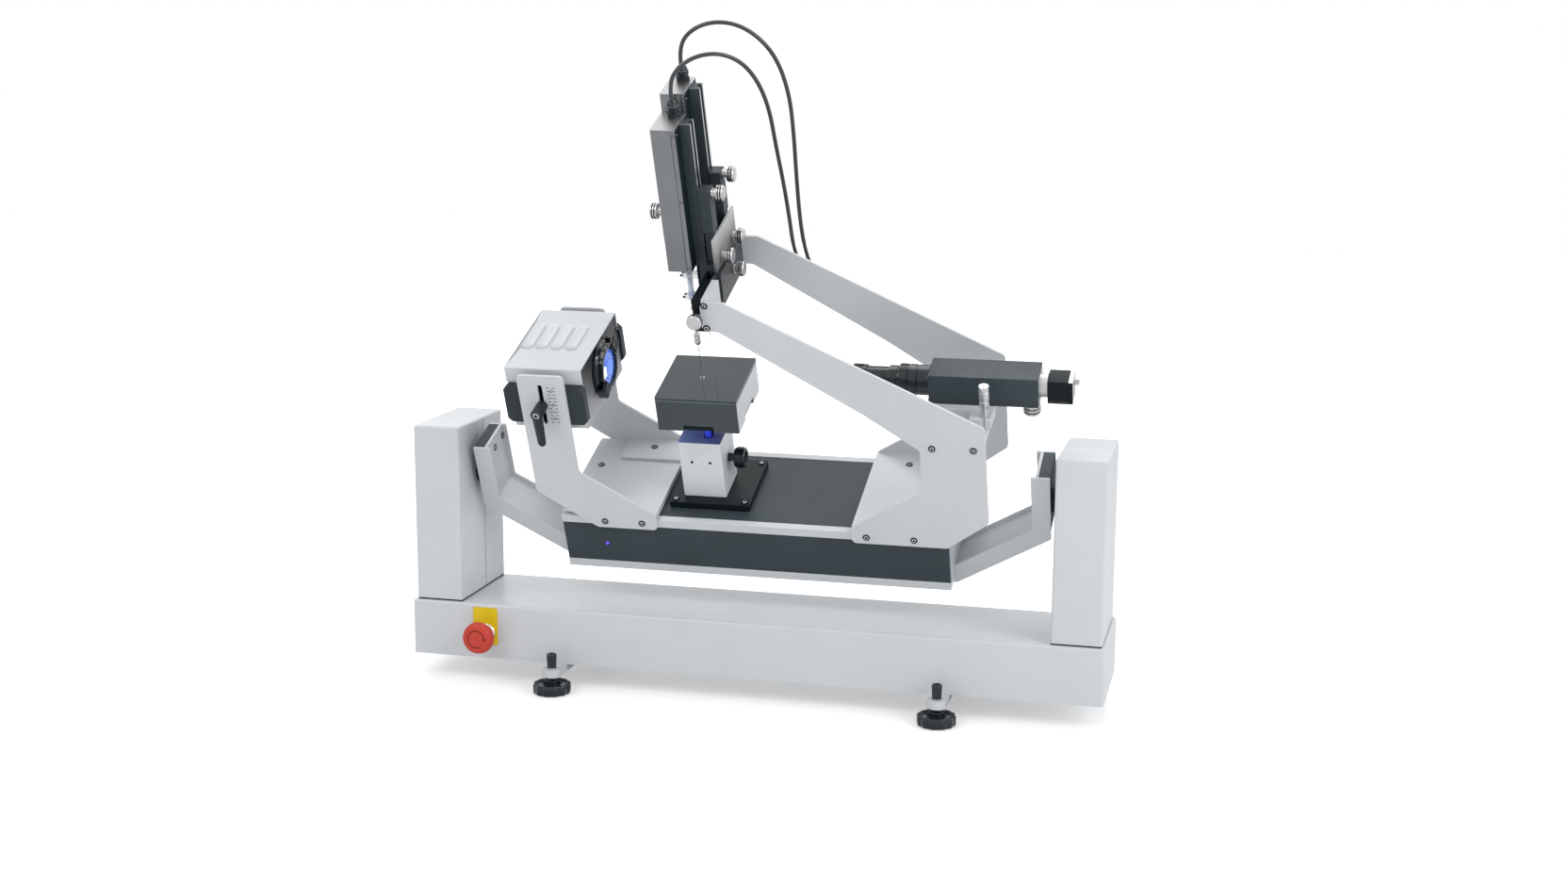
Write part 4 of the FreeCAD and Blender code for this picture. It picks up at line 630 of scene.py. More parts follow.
def screws_on(name, places, like, radius, finish="silver", whole=False):
    """Socket-head screws at (point, outward direction) places."""
    seeds = [(point, out, upwards if abs(out[2]) < 0.5 else (0.0, 1.0, 0.0)) for point, out in places]
    sizes = (radius * 0.78, 1.2, radius * 0.66, 0.30, radius * 0.96, radius * 0.25, radius * 0.47, 1.86)
    return repeated(name, "socket_screws", seeds, like, sizes, (finish, "shadow", "shadow"), whole)


def bars_on(name, places, like, width, length, depth, finish):
    """Small bars, such as ticks or ribs."""
    return repeated(name, "small_bars", places, like, (width, length, depth), (finish,))


def outwards(turn, axis="X"):
    """The direction square to an axis at a turn round it."""
    first, second = math.cos(turn), math.sin(turn)
    return Vector((0, first, second) if axis == "X" else (first, second, 0))


def ring_places(centre, radius, count, axis="X", phase=0.0):
    """Places round an axis, facing outwards and lying along it."""
    along = rightwards if axis == "X" else upwards
    ways = [outwards(full_turn * (k + phase) / count, axis) for k in range(count)]
    return [(Vector(centre) + out * radius, out, along) for out in ways]


# The stand


def dress_stand():
    for node, edge in (("beam_cover", 0.0), ("beam_bottom_plate", 0.4), ("foot_crossbars", 0.8),
                       ("pillar_covers", 0.0)):
        finer(node, ["light_coat"], edge)
    for node, finish in (("pillar_posts", "aluminium"), ("pivot_bearings", "steel"),
                         ("tilt_motor", "black_anodised")):
        coat_node(node, finish)
    low, high = node_box("pillar_covers", stand_frame)
    beam_top = node_box("beam_cover", stand_frame)[1].z
    pillar_width, sunk, joint_front, joint_back = 59.04, 0.4, 6.9, 7.9
    # Painted shadow in the side seams of the pillar covers and in the gap between the covers and the beam.
    seams = Shape()
    for side in (-1, 1):
        inner, outer = sorted((side * (high.x - pillar_width), side * (high.x - sunk)))
        seams.block((inner, joint_front, beam_top + 0.3), (outer, joint_back, high.z - 1.5))
        seams.block((inner + 0.6, low.y + 1.5, beam_top + 0.15), (outer - 0.6, high.y - 1.5, low.z + 0.5))
    seams.piece("pillar_seams", ["shadow"], "pillar_covers", space=stand_frame)


def levelling_feet():
    sizes = bpy.context.scene.tensiometer_size
    tree, keys = wheel_tree()
    hub, thick = 10.0, 12.5
    for node in ("foot_front_left", "foot_front_right", "foot_rear_left", "foot_rear_right"):
        low, high = node_box(node, stand_frame)
        centre = Matrix.Translation(((low.x + high.x) / 2, (low.y + high.y) / 2, 0))
        radius, top, cap = (high.x - low.x) / 2, high.z, high.z - 17.0
        wheel = Shape().spun([
            (0, 0), (radius - 2.2, 0), (radius - 0.7, 0.6), (radius, 1.9), (radius, thick - 1.9),
            (radius - 0.7, thick - 0.6), (radius - 2.2, thick), (hub + 4.5, thick - 0.4),
            (hub + 3.4, thick - 1.1), (hub, thick - 1.1)], unmoved, 144)
        foot = Shape()
        foot.mesh.from_mesh(grown(wheel.baked("wheel"), tree, keys, {
            "Lobes": float(sizes.wheel_lobes), "Scallop depth": sizes.scallop_depth,
            "Inner radius": radius * 0.8, "Outer radius": radius, "Finish": finishes["black_gloss"]}))
        foot.mesh.transform(centre)
        foot.spun([
            (hub, thick - 1.1), (hub, thick + 3.7), (hub - 0.8, thick + 4.5), (4.0, thick + 4.5),
            (4.0, cap - 2.0, 1), (6.0, cap - 2.0, 1), (6.0, cap, 1), (5.4, cap), (5.5, cap + 0.6),
            (6.1, top - 5.0), (6.3, top - 2.0),
            (6.15, top - 0.8), (5.6, top - 0.15), (4.9, top), (3.9, top), (3.6, top - 0.6), (3.5, top - 5.5, 2),
            (0, top - 5.5)], centre, 40)
        foot.prism(circle_outline(2.5, 6), top - 5.5, top - 4.6, 0.2, 1, centre)
        foot.stand_in(node, ["black_gloss", "steel", "shadow"], stand_frame)


def stop_button():
    plate_low, plate_high = node_box("stop_button_plate", stand_frame)
    cap_low, cap_high = node_box("stop_button_cap", stand_frame)
    x, z = (cap_low.x + cap_high.x) / 2, (cap_low.z + cap_high.z) / 2
    place = facing(x, 0, z, forwards)
    outline = rounded_outline([(plate_low.x, plate_low.z), (plate_high.x, plate_low.z),
                               (plate_high.x, plate_high.z), (plate_low.x, plate_high.z)], 2.0)
    plate = Shape().prism(outline, -plate_high.y, -plate_low.y, 0.25, 0, Matrix.Rotation(quarter_turn, 4, "X"))
    plate.piece("stop_plate", ["yellow"], "stop_button_plate", True, stand_frame)
    face, front = -plate_low.y, -node_box("stop_button_housing", stand_frame)[0].y
    ring = Shape().spun([
        (12.4, face), (12.4, face + 0.8), (11.9, face + 1.5), (11.3, face + 1.8), (10.9, face + 2.1),
        (10.8, front - 0.9), (10.3, front - 0.2), (9.6, front), (8.2, front), (7.6, front - 0.5),
        (7.3, front - 1.5), (7.2, face)], place, 64)
    ring.block((-15, -15, -34), (15, 15, face - 5), 1.0, 1, facing(x, 40, z, forwards))
    ring.piece("stop_ring", ["chrome", "black_plastic"], "stop_button_housing", True, stand_frame)
    top, back, radius = -cap_low.y, -cap_low.y - 13.0, (cap_high.x - cap_low.x) / 2
    head = Shape().spun([
        (6.8, back - 12), (6.8, back - 2.6, 1), (9.0, back - 2.4), (13.0, back - 1.2), (17.6, back),
        (18.9, back + 0.7), (radius - 0.05, back + 2.2), (radius, back + 4.4), (radius - 0.4, back + 7.4),
        (18.4, back + 9.6), (17.3, back + 11.2), (15.6, back + 12.2), (13.4, back + 12.7), (9.0, back + 12.92),
        (4.0, top), (0, top)], place, 96)
    head.piece("stop_mushroom", ["red", "chrome"], "stop_button_cap", True, stand_frame)
    reach, half_width, steps, sunk, proud = 10.6, 0.75, 44, 0.6, 0.02
    first, sweep = math.radians(-62), math.radians(292)
    turns = [first - sweep * k / steps for k in range(steps + 1)]
    rim = [(radius * math.cos(turn), radius * math.sin(turn))
           for radius, way in ((reach + half_width, turns), (reach - half_width, turns[::-1])) for turn in way]
    tip = place @ Matrix.Rotation(turns[-1], 4, "Z") @ Matrix.Translation((reach, 0, 0))
    arrow = Shape().prism(rim, top - sunk, top + proud, 0.0, 0, place)
    arrow.prism([(-2.6, 0.4), (2.6, 0.4), (0.2, -3.6)], top - sunk, top + proud, 0.0, 0, tip)
    arrow.piece("stop_arrow", ["deep_red"], "stop_button_cap", space=stand_frame)


# The cradle and the base


def dress_cradle():
    """The cradle and its hubs, and every screw of the instrument's plates, the stage and the lamp."""
    finer("cradle_frame", ["light_coat"], 0.6)
    finer("pivot_hubs", ["dark_coat"], 0.5)
    plates_low, plates_high = node_box("side_plates")
    places = [((x, face + out * 0.5, w), (0, out, 0)) for face, out in ((plates_low.y, -1), (plates_high.y, 1))
              for x, w in ((-184.0, -27.5), (-137.0, -27.5), (139.7, -27.5), (196.7, -27.5), (224.1, 102.0),
                           (271.6, 102.0), (-24.7, 277.0), (-24.7, 248.5))]
    stage_low, stage_high = node_box("stage_plate")
    x, v = (stage_low.x + stage_high.x) / 2, (stage_low.y + stage_high.y) / 2
    places += [((x + a * 43.2, v + b * 43.2, stage_high.z + 0.5), upwards) for a in (-1, 1) for b in (-1, 1)]
    places += [(spot, upwards) for spot in ((-219.0, 43.0, -14.7), (167.0, 80.0, -14.7), (-160.5, 84.0, -11.2))]
    screws_on("instrument_screw_set", places, "instrument_screws", 3.4, whole=True)
    arm = node_box("cradle_frame")[1].x - 16.9
    screws_on("arm_screws", [((side * arm, v, w), (-side, 0, 0)) for side in (-1, 1)
                             for v, w in ((22.5, 35.0), (-3.5, 34.0))], "cradle_frame", 3.6)
    face = node_box("lamp_housing")[1].x + 0.3
    spots = ((-43.3, 154.7), (-43.8, 117.2), (92.0, 153.7))
    screws_on("lamp_screws", [((face, v, w), rightwards) for v, w in spots], "lamp_housing", 2.0, "steel")


def dress_base():
    finer("base_frame", ["light_coat"], 0.5)
    # The panels' eased edges take a painted highlight.
    finer("base_panels", ["dark_coat", "painted_edge_highlight"], 0.4, edge_finish=1)
    finer("cable_duct", ["light_coat"], 0.4)
    finer("deck_plate", ["dark_coat"], 0.4)
    coat_node("control_board", "board")
    place = facing(-187.5, node_box("base_panels")[0].y, -63.6, forwards)
    light = Shape().spun([(2.5, -0.4), (2.5, 0.1), (2.2, 0.45), (1.3, 0.7), (0, 0.8)], place, 24)
    light.spun([(3.1, -0.4), (3.1, 0.12), (2.9, 0.2), (2.5, 0.1)], place, 24, 1)
    light.piece("power_light", ["power_light", "shadow"], "base_panels")


def dress_plates():
    for node, edge in (("lamp_brackets", 0.7), ("side_plates", 0.7), ("optics_crossbar", 0.6)):
        finer(node, ["light_coat"], edge)


def lamp_scale():
    """The height scale beside the slot: eleven rows of dashes, numbered from the middle both ways."""
    front = node_box("lamp_brackets")[0].y
    top, pitch, left, right = 159.4, 4.72, -228.6, -221.6
    dashes = [((x, front - 0.03, top - pitch * row), forwards, rightwards)
              for row in range(11) for x in (left, right)]
    bars_on("scale_dashes", dashes, "lamp_brackets", 0.95, 3.1, 0.10, "marking")
    numbers = Shape()
    for row, number in zip((1, 3, 5, 7, 9), "21012"):
        letters = bpy.data.curves.new("number", "FONT")
        letters.body = number
        letters.size = 5.2
        letters.offset = 0.12
        letters.align_x, letters.align_y = "CENTER", "CENTER"
        letters.extrude = 0.04
        holder = bpy.data.objects.new("number", letters)
        bpy.context.scene.collection.objects.link(holder)
        data = bpy.data.meshes.new_from_object(holder.evaluated_get(bpy.context.evaluated_depsgraph_get()))
        bpy.data.objects.remove(holder)
        place = Matrix.Translation(((left + right) / 2, front - 0.05, top - pitch * row))
        data.transform(place @ Matrix.Rotation(quarter_turn, 4, "X"))
        numbers.mesh.from_mesh(data)
    for face in numbers.mesh.faces:
        face.material_index = 0
    numbers.piece("scale_numbers", ["marking"], "lamp_brackets")


# The lamp


def dress_lamp():
    """The hood with its louvres' crowns, the housing with a painted reflection on its right face and painted shadow
    on the faces seen through the brackets' slots, and the heat sinks on both sides of the brackets, with strips of
    painted shadow behind the slots.
    """
    finer("lamp_cover", ["light_coat"])
    lamp_louvres()
    hood_low, hood_high = node_box("lamp_cover")
    # The housing's right face takes the painted reflection.
    lit_side = outer_face(0, node_box("lamp_housing")[1].x - 1)

    def housing_finish(middle, normal):
        # Faces seen through the brackets' slots take painted shadow.
        behind_slots = not hood_low.y <= middle.y <= hood_high.y and middle.x < -215
        return 2 if behind_slots else lit_side(middle, normal)

    finer("lamp_housing", ["light_coat", "housing_painted_reflection", "shadow"], 0.5, housing_finish)
    low, high = node_box("lamp_heat_sinks")
    bracket_left, bracket_right, slant, depth = -261.6, -215.6, 5.0, 10.7
    sinks = Shape()
    for face, start in ((low.y, -depth), (high.y, 0.0)):
        place = Matrix.Translation((0, face, 0)) @ Matrix.Rotation(quarter_turn, 4, "X")
        for end, straight, inward in ((low.x, bracket_left, slant), (high.x, bracket_right, -slant)):
            outline = [(straight, low.z), (straight, high.z), (end + inward, high.z), (end, high.z - slant),
                       (end, low.z + slant), (end + inward, low.z)]
            sinks.prism(outline, start, start + depth, 1.2, 0, place)
    # Strips of painted shadow on the housing behind the brackets' slots.
    for v in (hood_low.y - 0.5, hood_high.y):
        sinks.block((-253.0, v, 96.5), (-226.0, v + 0.5, 163.0), 0.0, 1)
    sinks.piece("heat_sinks", ["sink_dark", "shadow"], "lamp_heat_sinks", True)


def lamp_louvres():
    """Rounded crowns over the four pressed louvres of the hood."""
    top = node_box("lamp_housing")[1].z + 1.5
    reach, height, bulge, gap, steps, count = 8.1, 3.9, 2.2, 0.05, 8, 24
    front, back = 6.75, 48.25
    turns = [full_turn * (n + 0.5) / count for n in range(count)]
    crowns = Shape()
    for k in range(4):
        x, rings = -273.0 + 18.4 * k, []
        for step in range(steps + 1):
            radius = reach * math.cos(quarter_turn * step / steps) + gap
            w = top + height * (1 - min(1.0, radius / (reach + gap)) ** bulge) ** (1 / bulge)
            rings.append([(x + radius * math.cos(turn),
                           (back if math.sin(turn) > 0 else front) + radius * math.sin(turn), w)
                          for turn in turns])
        crowns.skin(rings, capped=(False, True))
    crowns.piece("louvre_crowns", ["light_coat"], "lamp_cover", angle=crown_angle)


def lamp_lens():
    """The bezel with its lobed front ring, clips and screws, and the lit lens with its rings and a painted glint."""
    low, high = node_box("lamp_lens_ring")
    outward = facing(low.x, (low.y + high.y) / 2, (low.z + high.z) / 2, rightwards)
    radius, depth = (high.y - low.y) / 2, high.x - low.x
    glass_low, glass_high = node_box("lamp_lens")
    glass_radius = (glass_high.y - glass_low.y) / 2 - 0.9
    rim, lip, opening = radius + 1.2, glass_radius + 4.4, glass_radius + 0.9
    bezel = Shape().spun([
        (radius - 6, 0), (rim, 0), (rim, 3.4), (rim - 0.6, 4.0), (rim - 1.6, 4.3), (rim - 2.0, 5.0),
        (radius - 2.0, 6.6), (lip, 7.4), (lip - 0.4, 8.2)], outward, 96)
    lobes, steps = 10, 80
    turns = [full_turn * k / steps for k in range(steps)]

    def lobed_ring(share, height):
        waves = [(lip + 0.8 + 0.9 * math.cos(lobes * turn)) * share for turn in turns]
        return [(wave * math.cos(turn), wave * math.sin(turn), height) for wave, turn in zip(waves, turns)]

    def round_ring(share, height):
        return [(opening * share * math.cos(turn), opening * share * math.sin(turn), height) for turn in turns]

    bezel.skin([lobed_ring(1, 7.2), lobed_ring(1, depth - 0.6), lobed_ring(0.975, depth), round_ring(1, depth),
                round_ring(0.97, depth - 0.5), round_ring(0.95, depth - 4.0)], outward)
    for degrees in (215, 38):
        turned = outward @ Matrix.Rotation(math.radians(degrees), 4, "Z")
        clip = turned @ Matrix.Translation((3.0, 0, depth - 6.0))
        bezel.block((17.5, -9.5, 4.2), (35.0, 9.5, 6.4), 0.8, 1, clip)
        for rib in (-5.8, 0.0, 5.8):
            bezel.block((19.0, rib - 1.5, 5.8), (34.4, rib + 1.5, 8.6), 0.9, 1, clip)
        bezel.block((31.0, -8.5, -3.0), (34.6, 8.5, 6.0), 0.9, 1, clip)
    for degrees in (252, 132, 340):
        turned = outward @ Matrix.Rotation(math.radians(degrees), 4, "Z")
        bezel.spun([(2.4, 0, 2), (2.4, 1.2, 2), (2.0, 1.6, 2), (1.1, 1.6, 0), (1.0, 1.0, 0), (0, 1.0, 0)],
                   turned @ Matrix.Translation((radius - 0.6, 0, 3.9)), 20)
    bezel.piece("lens_bezel", ["black_gloss", "black_plastic", "chrome"], "lamp_lens_ring", True)
    lit, glint, dark = 0, 1, 2
    curve = ((1.0, 7.0, dark), (1.0, 4.2, dark), (0.90, 3.2, lit), (0.82, 2.8, dark), (0.77, 2.5, lit),
             (0.64, 1.8, dark), (0.58, 1.6, lit), (0.48, 1.3, dark), (0.44, 1.2, lit), (0.30, 0.9, lit),
             (0, 0.7, lit))
    rings = [(glass_radius * share, depth - sunk, finish) for share, sunk, finish in curve]
    glass = Shape().spun(rings, outward, 64)
    # A glowing sector that paints the lens's highlight.
    glass.spun([(0.80 * glass_radius, -0.6), (0.80 * glass_radius, 0.0), (0.50 * glass_radius, 1.3),
                (0.50 * glass_radius, 0.4)], outward @ Matrix.Translation((0, 0, depth - 2.4)), 12, glint,
               math.radians(150), math.radians(52))
    glass.piece("lamp_glass", ["lamp_glass", "painted_lens_glint", "lamp_dark"], "lamp_lens", True)


def lamp_levers():
    """A clamping lever on each side, hanging down from its hub and getting thinner towards its end."""
    sides, steps, hub, end, thinnest, stud = 16, 6, 7.0, 5.2, 0.4, 25.0
    quarter = [quarter_turn * k / steps for k in range(steps + 1)]
    for node, out in (("lamp_lever_front", -1), ("lamp_lever_rear", 1)):
        low, high = node_box(node)
        place = facing((low.x + high.x) / 2, low.y if out < 0 else high.y, high.z - hub, (0, out, 0))
        down = place.to_3x3().inverted() @ Vector(downwards)
        place = place @ Matrix.Rotation(math.atan2(down.y, down.x), 4, "Z")
        reach = high.z - hub - low.z
        widths = [(-hub * math.cos(turn), max(thinnest, hub * math.sin(turn))) for turn in quarter]
        widths += [(3.0, 6.7), (8.0, 6.3), (16.0, 6.1), (26.0, 5.7), (reach - end, end)]
        widths += [(reach - end + end * math.sin(turn), max(thinnest, end * math.cos(turn)))
                   for turn in quarter[1:]]
        rings = []
        for along, half in widths:
            share = max(0.0, along) / reach
            thick = min(half, 3.9 - 0.9 * share)
            turns = [full_turn * k / sides for k in range(sides)]
            rings.append([(along, half * math.cos(turn), -4.2 - 0.6 * share + thick * math.sin(turn))
                          for turn in turns])
        lever = Shape().skin(rings, place, (True, True))
        lever.spun([
            (6.9, -stud), (7.0, 0.6 - stud), (7.0, -1.2), (6.4, -0.4), (5.4, 0.0), (4.4, 0.0), (4.2, -0.5, 1),
            (4.0, -0.5, 1), (3.7, -0.2, 1), (2.2, -0.2, 2), (1.9, -1.4, 2), (0, -1.4, 2)], place, 40)
        lever.spun([(2.7, low.y - high.y), (2.7, 0.4 - stud)], place, 20, 1)
        lever.stand_in(node, ["black_plastic", "steel", "shadow"], angle=round_angle)


# The sample stage


def dress_stage():
    finer("stage_plate", ["black_anodised"], 0.6)
    low, high = node_box("stage_column")
    middle = (low + high) / 2
    # The column's sides take the brighter copy of the light coat, which is painted light.
    # The column's top takes the painted blue lamp light.
    finer("stage_column", ["column_painted_light_coat", "painted_blue_light_top"], 0.8, outer_face(2, high.z - 1))
    # The two holes in the column's front are discs of painted shadow in a light rim, and a ring of painted shadow
    # lies round each post on top.
    holes = Shape()
    for x in (middle.x - 11.4, middle.x + 11.4):
        holes.spun([(2.2, -0.3), (2.2, 0.08), (1.8, 0.1), (1.75, 0.02, 1), (0, 0.02)],
                   facing(x, low.y, 32.8, forwards), 24)
    post_x, post_reach = -61.3, 10.0
    for v in (middle.y - post_reach, middle.y + post_reach):
        holes.spun([(5.9, -0.3), (5.9, 0.12), (4.3, 0.12), (4.3, -0.3)],
                   facing(post_x, v, high.z, upwards), 32, 1)
    holes.piece("column_holes", ["light_coat", "shadow"], "stage_column")
    body_low, body_high = node_box("chamber_body")
    finer("table_lift", ["black_anodised", "blue_guide"], 0.4,
          lambda place, normal: place.z < body_low.z and abs(place.y - middle.y) > post_reach / 2)
    # The eased edges of the chamber body and lid take a painted highlight.
    finer("chamber_body", ["dark_gloss", "light_coat", "painted_edge_highlight"], 0.45, outer_face(0, body_high.x - 1), 2)
    finer("chamber_lid", ["dark_gloss", "painted_edge_highlight"], 0.45, edge_finish=1)
    ring = Shape().spun([(2.0, -2.0), (2.0, 0.0), (2.15, 0.12), (2.5, 0.12), (2.7, 0.0), (2.7, -0.4)],
                        Matrix.Translation((needle_x, needle_v, node_box("chamber_lid")[1].z)), 32)
    ring.piece("lid_bush", ["steel"], "chamber_lid")


def stage_knob():
    low, high = node_box("stage_knob")
    v, w, long = (low.y + high.y) / 2, (low.z + high.z) / 2, 13.5
    disc = high.x - long
    half = [(10.6, 0.0), (11.8, 0.5), (12.2, 1.2), (12.2, 2.2), (11.3, 2.5), (11.3, 2.9), (12.2, 3.2)]
    profile = [(5.0, low.x - disc), (5.0, -0.8), (4.2, -0.8), (4.2, 0.0), *half]
    profile += [(12.2, long - 3.2), (11.3, long - 2.9), (11.3, long - 2.5), (12.2, long - 2.2),
                (12.2, long - 1.2), (11.6, long - 0.4), (10.4, long), (8.2, long), (7.4, long - 0.4),
                (6.9, long - 2.6), (4.0, long - 3.2), (3.6, long - 3.4, 1), (1.8, long - 3.4, 1),
                (1.6, long - 4.2, 2), (0, long - 4.2)]
    Shape().spun(profile, facing(disc, v, w, rightwards), 72).stand_in(
        "stage_knob", ["black_plastic", "steel", "shadow"])
    ribs = []
    for middle, phase in ((4.95, 0.0), (8.55, 0.5)):
        ribs += ring_places((disc + middle, v, w), (high.y - low.y) / 2 - 0.72, 44, phase=phase)
    bars_on("stage_knob_ribs", ribs, "stage_knob", 0.95, 3.3, 1.4, "black_plastic")


# Knobs


def silver_knob(node, direction, radius=9.0, neck=6.5, head=8.5, pin=6.0):
    """A turned silver knob with a stepped neck, two black rings and a crowned face."""
    low, high = node_box(node)
    tip = Vector(high[k] if way > 0.5 else low[k] if way < -0.5 else (low[k] + high[k]) / 2
                 for k, way in enumerate(direction))
    place = facing(*(tip - Vector(direction) * (neck + head)), direction)
    r, h = radius, neck + head
    grooves = (neck + head / 3, neck + 2 * head / 3)
    profile = [(3.0, -pin), (3.0, 0.25), (r * 0.60, 0.25), (r * 0.62, 0.5), (r * 0.62, neck * 0.42),
               (r * 0.60, neck * 0.46), (r * 0.47, neck * 0.48), (r * 0.47, neck * 0.80),
               (r * 0.56, neck * 0.86), (r * 0.56, neck), (r * 0.93, neck), (r, neck + 0.5)]
    for middle in grooves:
        profile += [(r, middle - 0.75), (r - 0.9, middle - 0.7), (r - 0.9, middle + 0.7), (r, middle + 0.75)]
    profile += [(r, h - 1.5), (r * 0.975, h - 0.9), (r * 0.93, h - 0.45), (r * 0.86, h - 0.18),
                (r * 0.72, h - 0.04), (r * 0.4, h), (0, h)]
    knob = Shape().spun(profile, place, 64)
    thick, turns = 0.95, [full_turn * k / 10 for k in range(11)]
    for middle in grooves:
        knob.spun([(r - 0.70 + thick * math.cos(turn), middle + thick * math.sin(turn)) for turn in turns],
                  place, 64, 1)
    knob.stand_in(node, ["silver", "rubber"])


def dress_knobs():
    for name in ("height_knob_front", "height_knob_rear", "clamp_knob_front", "clamp_knob_rear",
                 "crosshead_knob"):
        silver_knob(name, rightwards)
    silver_knob("cross_knob", forwards, pin=20.0)
    silver_knob("side_knob_front", leftwards, pin=4.0)
    silver_knob("optics_knob", downwards, 10.0, 6.0, 13.0)


# Crosshead and dosing drives


def dress_crosshead():
    """The crosshead, whose cover plate is light at the front and grey behind, the grey being a painted reflection
    that grows lighter upwards, and the carriage on it.
    """
    top, plate = node_box("crosshead")[1].z, -29.1

    def crosshead_finish(middle, normal):
        if middle.x > plate and middle.y > 10.0:
            return 2 if middle.z < top - 1.0 or normal.x > 0.5 else 0
        return middle.x > plate + 0.05

    finer("crosshead", ["black_anodised", "light_coat", "painted_reflection_grey"], 0.4, crosshead_finish)
    # The slots in the cover plate, as thin blocks of painted shadow.
    slots = Shape()
    for v, w in ((97.6, 266.5), (19.9, 266.0)):
        slots.block((-23.4, v - 0.9, w - 2.2), (-22.94, v + 0.9, w + 2.2))
    slots.piece("cover_slots", ["shadow"], "crosshead")
    # The carriage's hanging plate takes the same painted reflection.
    finer("dosing_carriage", ["dark_coat", "painted_reflection_grey"], 0.5,
          lambda middle, normal: middle.x > -28.05 and middle.z < 325.5)


def dosing_case(node, v, lift):
    """The drive's case with its panel seams, the rail with its steel edges, the gland and the clamps."""
    grey, shadow, flank, steel, gloss, dark, edge = range(7)
    left, right, front, back = -82.0, -53.5, v - 24.0, v + 24.0
    bottom, top, seam, flange = 286.2 + lift, 462.2 + lift, 0.35, right - 5.0
    lid = top - 1.6
    case = Shape()
    # The first block, a little inside the panels, is painted shadow that shows through the seams between them.
    for low, high, eased, finish in (
            ((left + 0.6, front + 0.6, bottom + 0.4), (right - 0.2, back - 0.6, top - 0.5), 0.0, shadow),
            ((left, front, bottom), (flange - seam, back, lid - seam), 0.9, grey),
            ((flange, front, bottom), (right, back, lid - seam), 0.6, grey),
            ((right - 1.0, front + 1.0, bottom + 1.0), (right + 0.12, back - 1.0, top - 2.6), 0.05, flank),
            ((left, front, lid), (flange + 2.2, back, top), 0.55, edge),
            ((flange + 2.2 + seam, front, lid), (right, back, top), 0.45, edge)):
        case.block(low, high, eased, finish)
    # A ring of painted shadow round the opening under the case.
    case.spun([(6.0, 0.3), (6.4, 0.0), (7.4, -0.15), (7.6, 0.2)], facing(needle_x, v, bottom, downwards), 40,
              shadow)
    rail_right, rail_low, rail_high = -41.3, 256.0 + lift, 461.0 + lift
    middle, half, groove, depth = v + 2.5, 8.0, 3.5, 4.0
    sections = [(right, half), (rail_right, half), (rail_right, groove), (rail_right - depth, groove)]
    outline = [(x, middle - y) for x, y in sections] + [(x, middle + y) for x, y in reversed(sections)]
    case.prism(outline, rail_low, rail_high, 0.5, dark)
    for start, stop in ((middle - half + 0.7, middle - groove - 0.5),
                        (middle + groove + 0.5, middle + half - 0.7)):
        case.block((rail_right - 1.0, start, rail_low + 1.2), (rail_right + 0.18, stop, rail_high - 1.2), 0.15,
                   steel)
    strap = 6.0
    case.block((right, v - strap, 228.0 + lift), (right + 3.0, v + strap, bottom), 0.3, flank)
    nut = Matrix.Translation((needle_x, back - 9.0, top))
    case.prism(circle_outline(8.2, 6), 0.0, 4.6, 0.5, gloss, nut)
    case.spun([(6.6, 4.6), (6.6, 6.2), (7.0, 6.4), (7.0, 6.8)], nut, 40, gloss)
    case.prism(circle_outline(7.5, 6, 0.2), 6.6, 13.2, 0.7, gloss, nut)
    case.spun([(6.5, 13.0), (6.35, 14.4), (5.7, 16.0), (4.6, 17.2), (3.4, 17.9), (2.6, 18.0), (2.5, 17.0)],
              nut, 40, gloss)
    case.stand_in(node, ["case_grey", "shadow", "matt_black", "steel", "black_gloss", "dark_coat", "case_edge"])
    clamps, jaw = Shape(), -72.4
    for w in (240.0 + lift, bottom - 18.0):
        clamps.block((jaw, v - strap, w), (right, v + strap, w + 6.0), 0.5)
        for side in (-3.6, 3.6):
            clamps.spun([(0.9, -1.0), (0.9, 0.5), (1.5, 0.6), (1.6, 0.9), (1.6, 2.6), (1.3, 3.0), (0, 3.0)],
                        facing(jaw, v + side, w + 3.0, leftwards), 16, 1)
    clamps.piece(node + "_clamps", ["clear", "black_plastic"], node)
    places = [((flange + 2.5, front - 0.15, w), forwards) for w in (bottom + 5.0, bottom + 88.0, top - 8.0)]
    places += [((right + 0.05, v + side, top - 8.0), rightwards) for side in (-19.0, 19.0)]
    screws_on(node + "_screws", places, node, 1.5, "steel")


def dress_syringe(node, v, lift):
    """The clear barrel with its bluish foot, the silver fittings below it and the needle with its collar."""
    place = Matrix.Translation((needle_x, v, lift))
    glass = Shape().spun([
        (2.6, 286.2), (4.0, 286.2), (4.0, 262.0), (4.0, 247.0, 1), (4.0, 240.8, 1), (3.6, 240.0, 1),
        (2.6, 240.0, 1), (2.6, 243.5, 1), (2.6, 286.2)], place, 40)
    glass.spun([
        (3.6, 240.0), (3.4, 238.8), (2.4, 237.5), (2.2, 229.0), (3.1, 228.4), (3.4, 227.0), (3.4, 225.4),
        (2.6, 225.0), (1.6, 225.0), (1.6, 214.0), (2.2, 213.6), (2.2, 211.0), (1.6, 210.6), (1.6, 193.0)],
        place, 32, 2)
    glass.spun([
        (1.6, 193.0), (3.4, 193.0), (3.8, 192.5), (3.8, 190.6), (3.3, 190.1), (3.3, 187.8), (3.8, 187.4),
        (3.8, 185.6), (3.3, 185.2), (3.3, 182.4), (3.8, 182.0), (3.8, 179.8), (3.2, 178.8), (1.9, 177.4),
        (0.9, 177.0), (0.45, 176.2), (0.45, 137.0), (0.22, 136.9), (0, 137.0)], place, 32, 3)
    glass.stand_in(node, ["clear", "blue_clear", "silver", "steel"])


